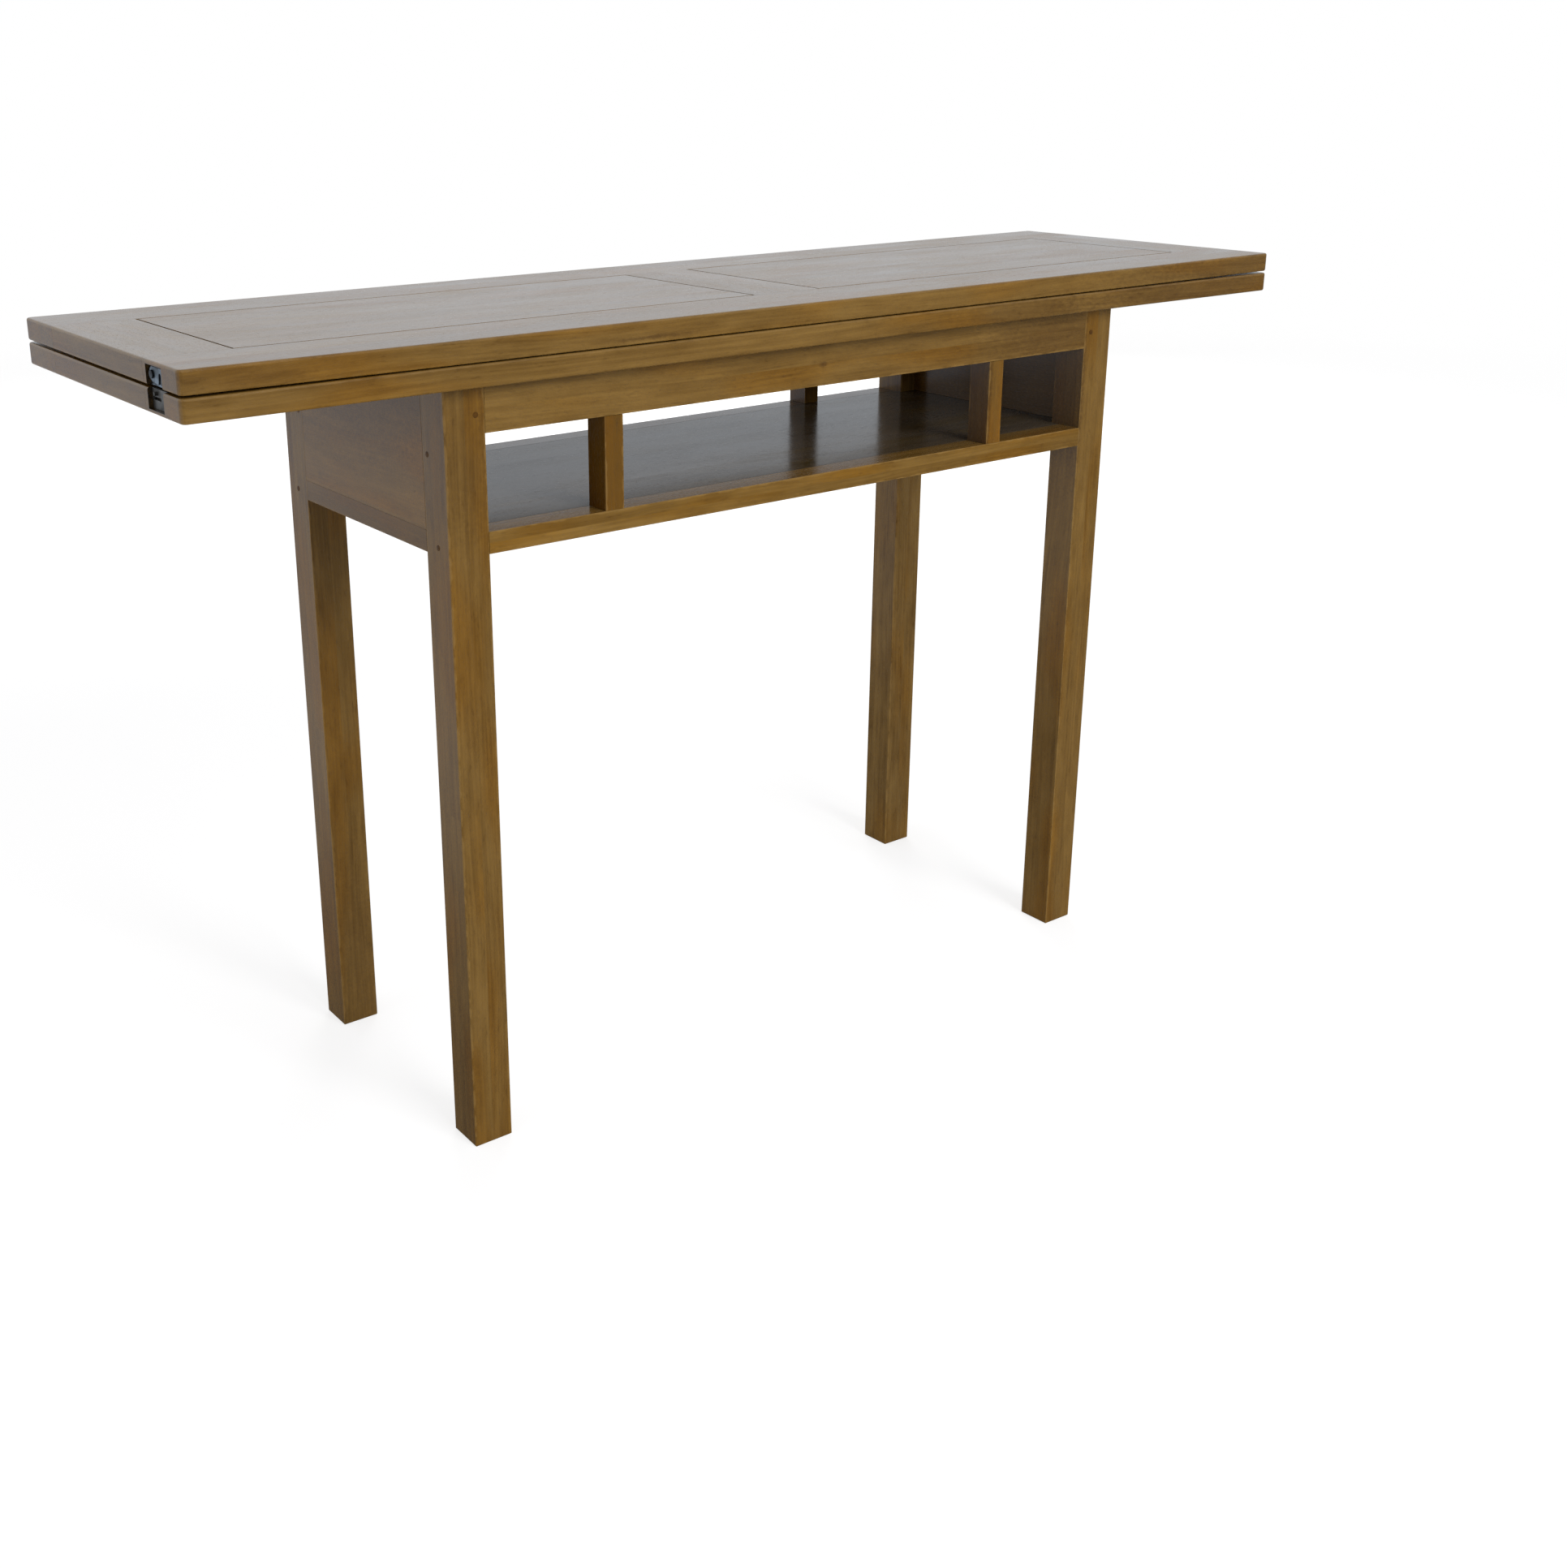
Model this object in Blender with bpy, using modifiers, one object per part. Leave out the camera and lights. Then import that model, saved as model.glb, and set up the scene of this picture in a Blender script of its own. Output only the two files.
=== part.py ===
"""Extendable console table: a leg frame with an open shelf under a top of two framed leaves.

The leaves lie face to face. The pair slides forward on guides inside the frame, and the upper leaf
then folds over the back edge of the lower one on link hinges, which doubles the depth of the top.

Metres, +Z up. X runs along the top, -Y is the front, and the origin is on the floor under the middle.
"""

import math

import bmesh
import bpy
from mathutils import Matrix, Vector

# Clearances
GLUE_LINE = 0.0002
RUNNING_GAP = 0.0003
PIN_PLAY = 0.0002

# Frame
BASE_LENGTH = 0.830
BASE_DEPTH = 0.324
BASE_HEIGHT = 0.735
LEG_SIZE = 0.040
TOP_RAIL_HEIGHT = 0.043
TOP_RAIL_THICKNESS = 0.022
SHELF_OPENING = 0.087
SHELF_RAIL_HEIGHT = 0.020
SHELF_RAIL_THICKNESS = 0.028
SHELF_THICKNESS = 0.014
END_THICKNESS = 0.018
POST_WIDTH = 0.020
POST_DEPTH = 0.028
POST_INSET = 0.173

# Joinery of the frame
TENON_THICKNESS = 0.008
TENON_LENGTH = 0.020
TENON_SHOULDER = 0.004
STUB_LENGTH = 0.007
TONGUE_LENGTH = 0.006
TONGUE_THICKNESS = 0.006
TENON_ROOT = 0.004
POST_TENON_WIDTH = 0.010

# Top
TOP_LENGTH = 1.300
LEAF_DEPTH = 0.370
LEAF_THICKNESS = 0.020
LEAF_GAP = 0.002
LEAF_RAIL_WIDTH = 0.075
END_STILE_WIDTH = 0.075
CENTRE_STILE_WIDTH = 0.080
PANEL_GROOVE = 0.002
PANEL_TONGUE = 0.008
PANEL_TONGUE_THICKNESS = 0.007
STILE_TENON_LENGTH = 0.012
STILE_TENON_INSET = 0.011

# Slide under the lower leaf
GUIDE_INSET = 0.115
GUIDE_WIDTH = 0.060
GUIDE_HEIGHT = 0.030
GUIDE_SLOT_WIDTH = 0.014
GUIDE_REBATE_WIDTH = 0.034
GUIDE_LIP = 0.014
GUIDE_END_WALL = 0.006
GUIDE_TONGUE_WIDTH = 0.040
GUIDE_TONGUE_SHOULDER = 0.008
SHOE_LENGTH = 0.062
SHOE_FOOT = 0.011

# Link hinges along the back edge
HINGE_INSET = 0.200
HINGE_WIDTH = 0.046
HINGE_LINK_WIDTH = 0.018
HINGE_KNUCKLE_RADIUS = 0.0027
HINGE_PIN_RADIUS = 0.00125
HINGE_SINK = 0.0005
HINGE_PLATE_THICKNESS = 0.0018
HINGE_PLATE_DEPTH = 0.026
HINGE_PLATE_SUNK = 0.0001
HINGE_SCREW_SPREAD = 0.015
HINGE_SCREW_SETBACK = 0.0155
HINGE_MIDDLE_SCREW_SETBACK = 0.0195
HINGE_SCREW_HEAD_RADIUS = 0.0031
HINGE_SCREW_SHANK_RADIUS = 0.0018
OPEN_SEAM = 0.0012

# Hook catches in the ends of the leaves
CATCH_SETBACK = 0.0585
CATCH_DEPTH = 0.0055
CATCH_TAIL = 0.010
CATCH_PLATE_THICKNESS = 0.0014
CATCH_SWING_GAP = 0.0012
HOOK_THICKNESS = 0.0020
HOOK_PIVOT_RISE = 0.0095
HOOK_UPPER_SIDE = 0.006
HOOK_LOWER_SIDE = 0.007
HOOK_NOSE = 0.0065
HOOK_NOTCH_PLAY = 0.0006
RIVET_RADIUS = 0.0018
RIVET_HEAD_RADIUS = 0.0034
RIVET_HEAD_HEIGHT = 0.0009
STUD_RADIUS = 0.0017
STUD_DROP = 0.004
KEEPER_SILL = 0.005
KEEPER_SLOT_WIDTH = 0.016
KEEPER_SLOT_HEIGHT = 0.0026
KEEPER_SLOT_DROP = 0.0042

# Eased edges
LEAF_ROUND = 0.002
LEAF_CORNER = 0.005
LEG_EASE = 0.0010
FLUSH_EASE = 0.0003
RAIL_EASE = 0.0004
ROUND_STEPS = 3
CORNER_STEPS = 4
EASE_STEPS = 1
ROD_SIDES = 16

# Finishes: colour, roughness, metallic
STAINED_WOOD = ((0.235, 0.115, 0.034), 0.38, 0.0)
SHELF_WOOD = ((0.190, 0.095, 0.032), 0.32, 0.0)
GUIDE_WOOD = ((0.400, 0.265, 0.140), 0.60, 0.0)
HINGE_METAL = ((0.260, 0.180, 0.085), 0.42, 1.0)
BLUED_STEEL = ((0.105, 0.125, 0.150), 0.38, 1.0)

# Heights and half sizes that follow from the sizes above
SHELF_TOP = BASE_HEIGHT - TOP_RAIL_HEIGHT - SHELF_OPENING
LOWER_LEAF_BOTTOM = BASE_HEIGHT + RUNNING_GAP
LOWER_LEAF_TOP = LOWER_LEAF_BOTTOM + LEAF_THICKNESS
UPPER_LEAF_BOTTOM = LOWER_LEAF_TOP + LEAF_GAP
FRAME_X = BASE_LENGTH / 2
FRAME_Y = BASE_DEPTH / 2
INNER_X = FRAME_X - LEG_SIZE
INNER_Y = FRAME_Y - LEG_SIZE
LEAF_X = TOP_LENGTH / 2
LEAF_Y = LEAF_DEPTH / 2
POST_X = FRAME_X - POST_INSET
GUIDE_X = FRAME_X - GUIDE_INSET
HINGE_X = LEAF_X - HINGE_INSET

# Hinge axes: the lower pin is in the lower leaf, the upper pin in the upper leaf
PIN_DEPTH = HINGE_KNUCKLE_RADIUS + HINGE_SINK
PIN_INSET = PIN_DEPTH + LEAF_GAP / 2 - OPEN_SEAM / 2
LOWER_PIN = Vector((0, LEAF_Y - PIN_INSET, LOWER_LEAF_TOP - PIN_DEPTH))
UPPER_PIN = Vector((0, LEAF_Y - PIN_INSET, UPPER_LEAF_BOTTOM + PIN_DEPTH))

# Catch: the hook hangs on a pivot in the upper leaf and its notch drops over a stud in the lower leaf
HOOK_PIVOT_Y = -LEAF_Y + CATCH_SETBACK
HOOK_PIVOT_Z = UPPER_LEAF_BOTTOM + HOOK_PIVOT_RISE
HOOK_REACH = HOOK_PIVOT_RISE + LEAF_GAP + STUD_DROP
HOOK_SWING = HOOK_REACH + HOOK_NOSE

SIDES = {"left": -1, "right": 1}
FACES = {"front": -1, "back": 1}

for leftover in list(bpy.data.objects):
    bpy.data.objects.remove(leftover, do_unlink=True)


def new_collection(name):
    made = bpy.data.collections.new(name)
    bpy.context.scene.collection.children.link(made)
    return made


PARTS = new_collection("extendable_console_table")
CUTTERS = new_collection("cutters")


def ordered(corner, opposite):
    """The lowest and highest corners of the box between two opposite corners."""
    pairs = list(zip(corner, opposite))
    return Vector([min(pair) for pair in pairs]), Vector([max(pair) for pair in pairs])


def mesh_object(name, shape, place, group):
    mesh = bpy.data.meshes.new(name)
    shape.to_mesh(mesh)
    shape.free()
    obj = bpy.data.objects.new(name, mesh)
    obj.location = place
    group.objects.link(obj)
    return obj


def block(name, corner, opposite, group=PARTS):
    low, high = ordered(corner, opposite)
    shape = bmesh.new()
    bmesh.ops.create_cube(shape, size=1.0)
    bmesh.ops.scale(shape, vec=high - low, verts=shape.verts)
    return mesh_object(name, shape, (low + high) / 2, group)


def rod(name, radius, start, end, y, z, group=PARTS):
    """A round rod along X from start to end."""
    shape = bmesh.new()
    bmesh.ops.create_cone(
        shape,
        cap_ends=True,
        segments=ROD_SIDES,
        radius1=radius,
        radius2=radius,
        depth=abs(end - start),
        matrix=Matrix.Rotation(math.radians(90), 4, "Y"),
    )
    made = mesh_object(name, shape, Vector(((start + end) / 2, y, z)), group)
    made.data.shade_smooth()
    made.data.set_sharp_from_angle(angle=math.radians(40))
    return made


def countersink(name, wide, narrow, depth, place, upward):
    """A cone that is wide at its place and narrows to its depth, below it or above it."""
    shape = bmesh.new()
    bmesh.ops.create_cone(
        shape,
        cap_ends=True,
        segments=ROD_SIDES,
        radius1=narrow,
        radius2=wide,
        depth=depth,
        matrix=Matrix.Translation((0, 0, -depth / 2)),
    )
    if upward < 0:
        bmesh.ops.rotate(shape, matrix=Matrix.Rotation(math.radians(180), 3, "X"), verts=shape.verts)
    return mesh_object(name, shape, place, CUTTERS)


def as_tool(obj):
    """Marks a shape that only cuts or joins another one."""
    obj.hide_render = True
    obj.display_type = "WIRE"
    return obj


def arc(radius, start, end, middle=(0.0, 0.0), steps=8):
    """Points of an arc in the plane of Y and Z, from one angle to another in degrees, ends included."""
    angles = [math.radians(start + (end - start) * step / steps) for step in range(steps + 1)]
    return [(middle[0] + radius * math.cos(a), middle[1] + radius * math.sin(a)) for a in angles]


def circle(radius, middle=(0.0, 0.0)):
    return arc(radius, 0, 360, middle, ROD_SIDES)[:-1]


def plate(name, outlines, start, end, y, z):
    """An outline in Y and Z, measured from (y, z) and followed by any holes, made solid along X."""
    curve = bpy.data.curves.new(name, "CURVE")
    curve.dimensions = "2D"
    curve.fill_mode = "BOTH"
    curve.extrude = abs(end - start) / 2
    for outline in outlines:
        spline = curve.splines.new("POLY")
        spline.points.add(len(outline) - 1)
        for point, (across, up) in zip(spline.points, outline):
            point.co = (across, up, 0, 1)
        spline.use_cyclic_u = True
    flat = bpy.data.objects.new(name, curve)
    CUTTERS.objects.link(flat)
    solid = bpy.data.meshes.new_from_object(flat.evaluated_get(bpy.context.evaluated_depsgraph_get()))
    bpy.data.objects.remove(flat, do_unlink=True)
    shape = bmesh.new()
    shape.from_mesh(solid)
    bpy.data.meshes.remove(solid)
    bmesh.ops.remove_doubles(shape, verts=shape.verts, dist=1e-6)
    outline_to_frame = Matrix(((0, 0, 1, 0), (1, 0, 0, 0), (0, 1, 0, 0), (0, 0, 0, 1)))
    bmesh.ops.transform(shape, matrix=outline_to_frame, verts=shape.verts)
    bmesh.ops.recalc_face_normals(shape, faces=shape.faces)
    return mesh_object(name, shape, Vector(((start + end) / 2, y, z)), PARTS)


def ease(obj, radius, steps, chosen):
    """Rounds the edges of a block. chosen gives each one's share of the radius from the side,
    -1, 0 or 1, of its middle."""
    shape = bmesh.new()
    shape.from_mesh(obj.data)
    weight = shape.edges.layers.float.new("bevel_weight_edge")
    for edge in shape.edges:
        middle = (edge.verts[0].co + edge.verts[1].co) / 2
        side = [round(value / max(abs(value), radius / 4)) for value in middle]
        edge[weight] = float(chosen(*side))
    shape.to_mesh(obj.data)
    shape.free()
    bevel = obj.modifiers.new("eased_edges", "BEVEL")
    bevel.limit_method = "WEIGHT"
    bevel.width = radius
    bevel.segments = steps


def round_in_plan(obj, radius, steps, face):
    """Rounds the two upright edges of a block that are on its front, -1, or back, 1."""
    shape = bmesh.new()
    shape.from_mesh(obj.data)
    upright = [
        edge
        for edge in shape.edges
        if edge.verts[0].co.xy == edge.verts[1].co.xy and face * edge.verts[0].co.y > 0
    ]
    bmesh.ops.bevel(shape, geom=upright, offset=radius, segments=steps, profile=0.5, affect="EDGES")
    shape.to_mesh(obj.data)
    shape.free()


def boolean(obj, tool, operation):
    modifier = obj.modifiers.new(f"{operation.lower()}_{tool.name}", "BOOLEAN")
    modifier.operation = operation
    modifier.solver = "EXACT"
    modifier.object = tool


def cut(obj, corner, opposite):
    tool = as_tool(block(f"{obj.name}_cut", corner, opposite, CUTTERS))
    boolean(obj, tool, "DIFFERENCE")


def let_in(piece, hosts, corner, opposite):
    """Gives the piece a tenon or tongue, and each host a seat for it that is a glue line larger."""
    low, high = ordered(corner, opposite)
    play = Vector((GLUE_LINE, GLUE_LINE, GLUE_LINE))
    boolean(piece, as_tool(block(f"{piece.name}_tenon", low, high, CUTTERS)), "UNION")
    for host in hosts:
        cut(host, low - play, high + play)


def finish(obj, look):
    colour, roughness, metallic = look
    material = bpy.data.materials.new(f"{obj.name}_finish")
    material.use_nodes = True
    shader = material.node_tree.nodes["Principled BSDF"]
    shader.inputs["Base Color"].default_value = (*colour, 1.0)
    shader.inputs["Roughness"].default_value = roughness
    shader.inputs["Metallic"].default_value = metallic
    obj.data.materials.append(material)


def carrier(name, place, parent=None):
    """An empty that pieces move with, on their joint's axis."""
    empty = bpy.data.objects.new(name, None)
    empty.empty_display_size = LEG_SIZE
    empty.location = place
    PARTS.objects.link(empty)
    if parent:
        carry(empty, parent)
    return empty


def carry(obj, empty):
    bpy.context.view_layer.update()
    obj.parent = empty
    obj.matrix_parent_inverse = empty.matrix_world.inverted()


def make_legs():
    legs = {}
    for face, y_sign in FACES.items():
        for side, x_sign in SIDES.items():
            leg = block(
                f"leg_{face}_{side}",
                (x_sign * INNER_X, y_sign * INNER_Y, 0),
                (x_sign * FRAME_X, y_sign * FRAME_Y, BASE_HEIGHT),
            )
            flush = ((-x_sign, y_sign, 0), (x_sign, -y_sign, 0))
            ease(
                leg,
                LEG_EASE,
                EASE_STEPS,
                lambda x, y, z, flush=flush: FLUSH_EASE / LEG_EASE if (x, y, z) in flush else z != 1,
            )
            legs[face, side] = leg
    return legs


def long_rail(name, face, thickness, bottom, top, legs):
    """A rail along X between two legs, flush with their outer faces and tenoned into both."""
    outer = FACES[face] * FRAME_Y
    inner = FACES[face] * (FRAME_Y - thickness)
    reach = INNER_X - GLUE_LINE
    rail = block(name, (-reach, outer, bottom), (reach, inner, top))
    ease(rail, RAIL_EASE, EASE_STEPS, lambda x, y, z: x == 0)
    middle = (outer + inner) / 2
    for side, x_sign in SIDES.items():
        let_in(
            rail,
            [legs[face, side]],
            (x_sign * (INNER_X - TENON_ROOT), middle - TENON_THICKNESS / 2, bottom + TENON_SHOULDER),
            (x_sign * (INNER_X + TENON_LENGTH), middle + TENON_THICKNESS / 2, top - TENON_SHOULDER),
        )
    return rail


def make_end(side, legs):
    """The closed end of the frame: a panel over a narrow rail, both between two legs."""
    x_sign = SIDES[side]
    outer = x_sign * FRAME_X
    inner = x_sign * (FRAME_X - END_THICKNESS)
    middle = (outer + inner) / 2
    reach = INNER_Y - GLUE_LINE
    pair = [legs["front", side], legs["back", side]]
    bottom = SHELF_TOP - SHELF_RAIL_HEIGHT
    rail = block(f"end_rail_{side}", (outer, -reach, bottom), (inner, reach, SHELF_TOP))
    ease(rail, RAIL_EASE, EASE_STEPS, lambda x, y, z: z == -1 and y == 0)
    let_in(
        rail,
        pair,
        (middle - TENON_THICKNESS / 2, -INNER_Y - TENON_LENGTH, bottom + TENON_SHOULDER),
        (middle + TENON_THICKNESS / 2, INNER_Y + TENON_LENGTH, SHELF_TOP - TENON_SHOULDER),
    )
    panel_bottom = SHELF_TOP + GLUE_LINE
    panel = block(f"end_panel_{side}", (outer, -reach, panel_bottom), (inner, reach, BASE_HEIGHT))
    let_in(
        panel,
        pair,
        (middle - TENON_THICKNESS / 2, -INNER_Y - STUB_LENGTH, panel_bottom + TENON_SHOULDER),
        (middle + TENON_THICKNESS / 2, INNER_Y + STUB_LENGTH, BASE_HEIGHT - TENON_SHOULDER),
    )
    return rail, panel


def make_shelf(rails, legs):
    """The shelf board, flush with the rails round it, notched for the legs and tongued into the rails."""
    reach_x = FRAME_X - END_THICKNESS - GLUE_LINE
    inner_y = FRAME_Y - SHELF_RAIL_THICKNESS
    bottom = SHELF_TOP - SHELF_THICKNESS
    middle = (bottom + SHELF_TOP) / 2
    reach_y = inner_y - GLUE_LINE
    shelf = block("shelf", (-reach_x, -reach_y, bottom), (reach_x, reach_y, SHELF_TOP))
    for face, side in legs:
        x_sign, y_sign = SIDES[side], FACES[face]
        cut(
            shelf,
            (x_sign * (INNER_X - GLUE_LINE), y_sign * (INNER_Y - GLUE_LINE), 0),
            (x_sign * FRAME_X, y_sign * FRAME_Y, BASE_HEIGHT),
        )
    let_in(
        shelf,
        rails,
        (-INNER_X + TENON_LENGTH, -inner_y - TONGUE_LENGTH, middle - TONGUE_THICKNESS / 2),
        (INNER_X - TENON_LENGTH, inner_y + TONGUE_LENGTH, middle + TONGUE_THICKNESS / 2),
    )
    return shelf


def make_post(face, side, shelf_rail, top_rail):
    """A short upright between the two rails of one face, stub-tenoned into both."""
    x = SIDES[side] * POST_X
    outer = FACES[face] * FRAME_Y
    inner = FACES[face] * (FRAME_Y - POST_DEPTH)
    tenon_y = FACES[face] * (FRAME_Y - min(TOP_RAIL_THICKNESS, SHELF_RAIL_THICKNESS, POST_DEPTH) / 2)
    opening_top = SHELF_TOP + SHELF_OPENING
    post = block(
        f"post_{face}_{side}",
        (x - POST_WIDTH / 2, outer, SHELF_TOP + GLUE_LINE),
        (x + POST_WIDTH / 2, inner, opening_top - GLUE_LINE),
    )
    ease(post, RAIL_EASE, EASE_STEPS, lambda x, y, z: z == 0)
    let_in(
        post,
        [shelf_rail, top_rail],
        (x - POST_TENON_WIDTH / 2, tenon_y - TENON_THICKNESS / 2, SHELF_TOP - STUB_LENGTH),
        (x + POST_TENON_WIDTH / 2, tenon_y + TENON_THICKNESS / 2, opening_top + STUB_LENGTH),
    )
    return post


def make_guide(side, top_rails):
    """A slotted bar across the frame, let into both top rails, that a shoe under the top runs in."""
    x = SIDES[side] * GUIDE_X
    inner_y = FRAME_Y - TOP_RAIL_THICKNESS
    bottom = BASE_HEIGHT - GUIDE_HEIGHT
    reach = inner_y - GLUE_LINE
    bar = block(
        f"slide_guide_{side}",
        (x - GUIDE_WIDTH / 2, -reach, bottom),
        (x + GUIDE_WIDTH / 2, reach, BASE_HEIGHT),
    )
    let_in(
        bar,
        top_rails,
        (x - GUIDE_TONGUE_WIDTH / 2, -inner_y - STUB_LENGTH, bottom + GUIDE_TONGUE_SHOULDER),
        (x + GUIDE_TONGUE_WIDTH / 2, inner_y + STUB_LENGTH, BASE_HEIGHT - GUIDE_TONGUE_SHOULDER),
    )
    slot_y = inner_y - GUIDE_END_WALL
    cut(
        bar,
        (x - GUIDE_SLOT_WIDTH / 2, -slot_y, bottom - TENON_ROOT),
        (x + GUIDE_SLOT_WIDTH / 2, slot_y, BASE_HEIGHT + TENON_ROOT),
    )
    cut(
        bar,
        (x - GUIDE_REBATE_WIDTH / 2, -slot_y, bottom - TENON_ROOT),
        (x + GUIDE_REBATE_WIDTH / 2, slot_y, BASE_HEIGHT - GUIDE_LIP),
    )
    return bar


def make_shoe(side):
    """The runner under the lower leaf: a neck through the guide's slot and a foot under its lips."""
    x = SIDES[side] * GUIDE_X
    back = FRAME_Y - TOP_RAIL_THICKNESS - GUIDE_END_WALL - RUNNING_GAP
    front = back - SHOE_LENGTH
    neck = GUIDE_SLOT_WIDTH / 2 - RUNNING_GAP
    foot = GUIDE_REBATE_WIDTH / 2 - RUNNING_GAP
    foot_top = BASE_HEIGHT - GUIDE_LIP - RUNNING_GAP
    shoe = block(
        f"slide_shoe_{side}",
        (x - foot, front, foot_top - SHOE_FOOT),
        (x + foot, back, foot_top),
    )
    neck_tool = block(
        f"slide_shoe_{side}_neck",
        (x - neck, front, foot_top - SHOE_FOOT / 2),
        (x + neck, back, LOWER_LEAF_BOTTOM - GLUE_LINE),
        CUTTERS,
    )
    boolean(shoe, as_tool(neck_tool), "UNION")
    return shoe


def make_leaf(leaf, bottom):
    """One framed leaf: two full-length rails, three stiles and two flush panels."""
    top = bottom + LEAF_THICKNESS
    middle = (bottom + top) / 2
    rail_inner = LEAF_Y - LEAF_RAIL_WIDTH
    rails = {}
    for face, y_sign in FACES.items():
        rail = block(
            f"{leaf}_leaf_{face}_rail",
            (-LEAF_X, y_sign * LEAF_Y, bottom),
            (LEAF_X, y_sign * rail_inner, top),
        )
        round_in_plan(rail, LEAF_CORNER, CORNER_STEPS, y_sign)
        ease(
            rail,
            LEAF_ROUND,
            ROUND_STEPS,
            lambda x, y, z, outer=y_sign: z != 0 and (y == outer or x != 0),
        )
        rails[face] = rail
    hosts = list(rails.values())
    stiles = {}
    edges = {
        "left": (-LEAF_X, -LEAF_X + END_STILE_WIDTH),
        "centre": (-CENTRE_STILE_WIDTH / 2, CENTRE_STILE_WIDTH / 2),
        "right": (LEAF_X - END_STILE_WIDTH, LEAF_X),
    }
    for place, (start, end) in edges.items():
        reach = rail_inner - GLUE_LINE
        stile = block(f"{leaf}_leaf_{place}_stile", (start, -reach, bottom), (end, reach, top))
        if place != "centre":
            outer = SIDES[place]
            ease(stile, LEAF_ROUND, ROUND_STEPS, lambda x, y, z: x == outer and y == 0)
        let_in(
            stile,
            hosts,
            (
                start + STILE_TENON_INSET,
                -rail_inner - STILE_TENON_LENGTH,
                middle - PANEL_TONGUE_THICKNESS / 2,
            ),
            (
                end - STILE_TENON_INSET,
                rail_inner + STILE_TENON_LENGTH,
                middle + PANEL_TONGUE_THICKNESS / 2,
            ),
        )
        stiles[place] = stile
    panels = []
    for side, x_sign in SIDES.items():
        near = x_sign * CENTRE_STILE_WIDTH / 2
        far = x_sign * (LEAF_X - END_STILE_WIDTH)
        groove = x_sign * PANEL_GROOVE
        tongue = x_sign * PANEL_TONGUE
        face_y = rail_inner - PANEL_GROOVE
        panel = block(
            f"{leaf}_leaf_{side}_panel", (near + groove, -face_y, bottom), (far - groove, face_y, top)
        )
        let_in(
            panel,
            hosts + [stiles[side], stiles["centre"]],
            (near - tongue, -rail_inner - PANEL_TONGUE, middle - PANEL_TONGUE_THICKNESS / 2),
            (far + tongue, rail_inner + PANEL_TONGUE, middle + PANEL_TONGUE_THICKNESS / 2),
        )
        panels.append(panel)
    return rails, list(stiles.values()), panels


def hinge_plate(name, start, end, pin, upward):
    """A hinge plate flush with a leaf's inner face, with two knuckles for its pin at the leaf's edge."""
    plate_top = PIN_DEPTH - HINGE_PLATE_SUNK
    plate_bottom = plate_top - HINGE_PLATE_THICKNESS
    inner_end = PIN_INSET - HINGE_PLATE_DEPTH
    radius = HINGE_KNUCKLE_RADIUS
    outline = [(inner_end, plate_top), (inner_end, plate_bottom), (-radius, plate_bottom)]
    outline += arc(radius, 180, 450, steps=12) + [(0, plate_top)]
    hole = circle(HINGE_PIN_RADIUS + PIN_PLAY)
    turned = [[(across, upward * up) for across, up in points] for points in (outline, hole)]
    made = plate(name, turned, start, end, pin.y, pin.z)
    link_half = HINGE_LINK_WIDTH / 2 + RUNNING_GAP
    x = (start + end) / 2
    far = 2 * HINGE_PLATE_DEPTH
    cut(
        made,
        (x - link_half, pin.y - radius - RUNNING_GAP, pin.z - far),
        (x + link_half, pin.y + far, pin.z + far),
    )
    screws = (
        (-HINGE_SCREW_SPREAD, HINGE_SCREW_SETBACK),
        (0.0, HINGE_MIDDLE_SCREW_SETBACK),
        (HINGE_SCREW_SPREAD, HINGE_SCREW_SETBACK),
    )
    taper = (HINGE_SCREW_HEAD_RADIUS - HINGE_SCREW_SHANK_RADIUS) / HINGE_PLATE_THICKNESS
    for across, setback in screws:
        hole = countersink(
            f"{name}_screw_hole",
            HINGE_SCREW_HEAD_RADIUS + taper * HINGE_PLATE_SUNK,
            HINGE_SCREW_SHANK_RADIUS - taper * HINGE_PLATE_SUNK,
            HINGE_PLATE_THICKNESS + 2 * HINGE_PLATE_SUNK,
            Vector((x + across, LEAF_Y - setback, pin.z + upward * PIN_DEPTH)),
            upward,
        )
        boolean(made, as_tool(hole), "DIFFERENCE")
    return made


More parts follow.
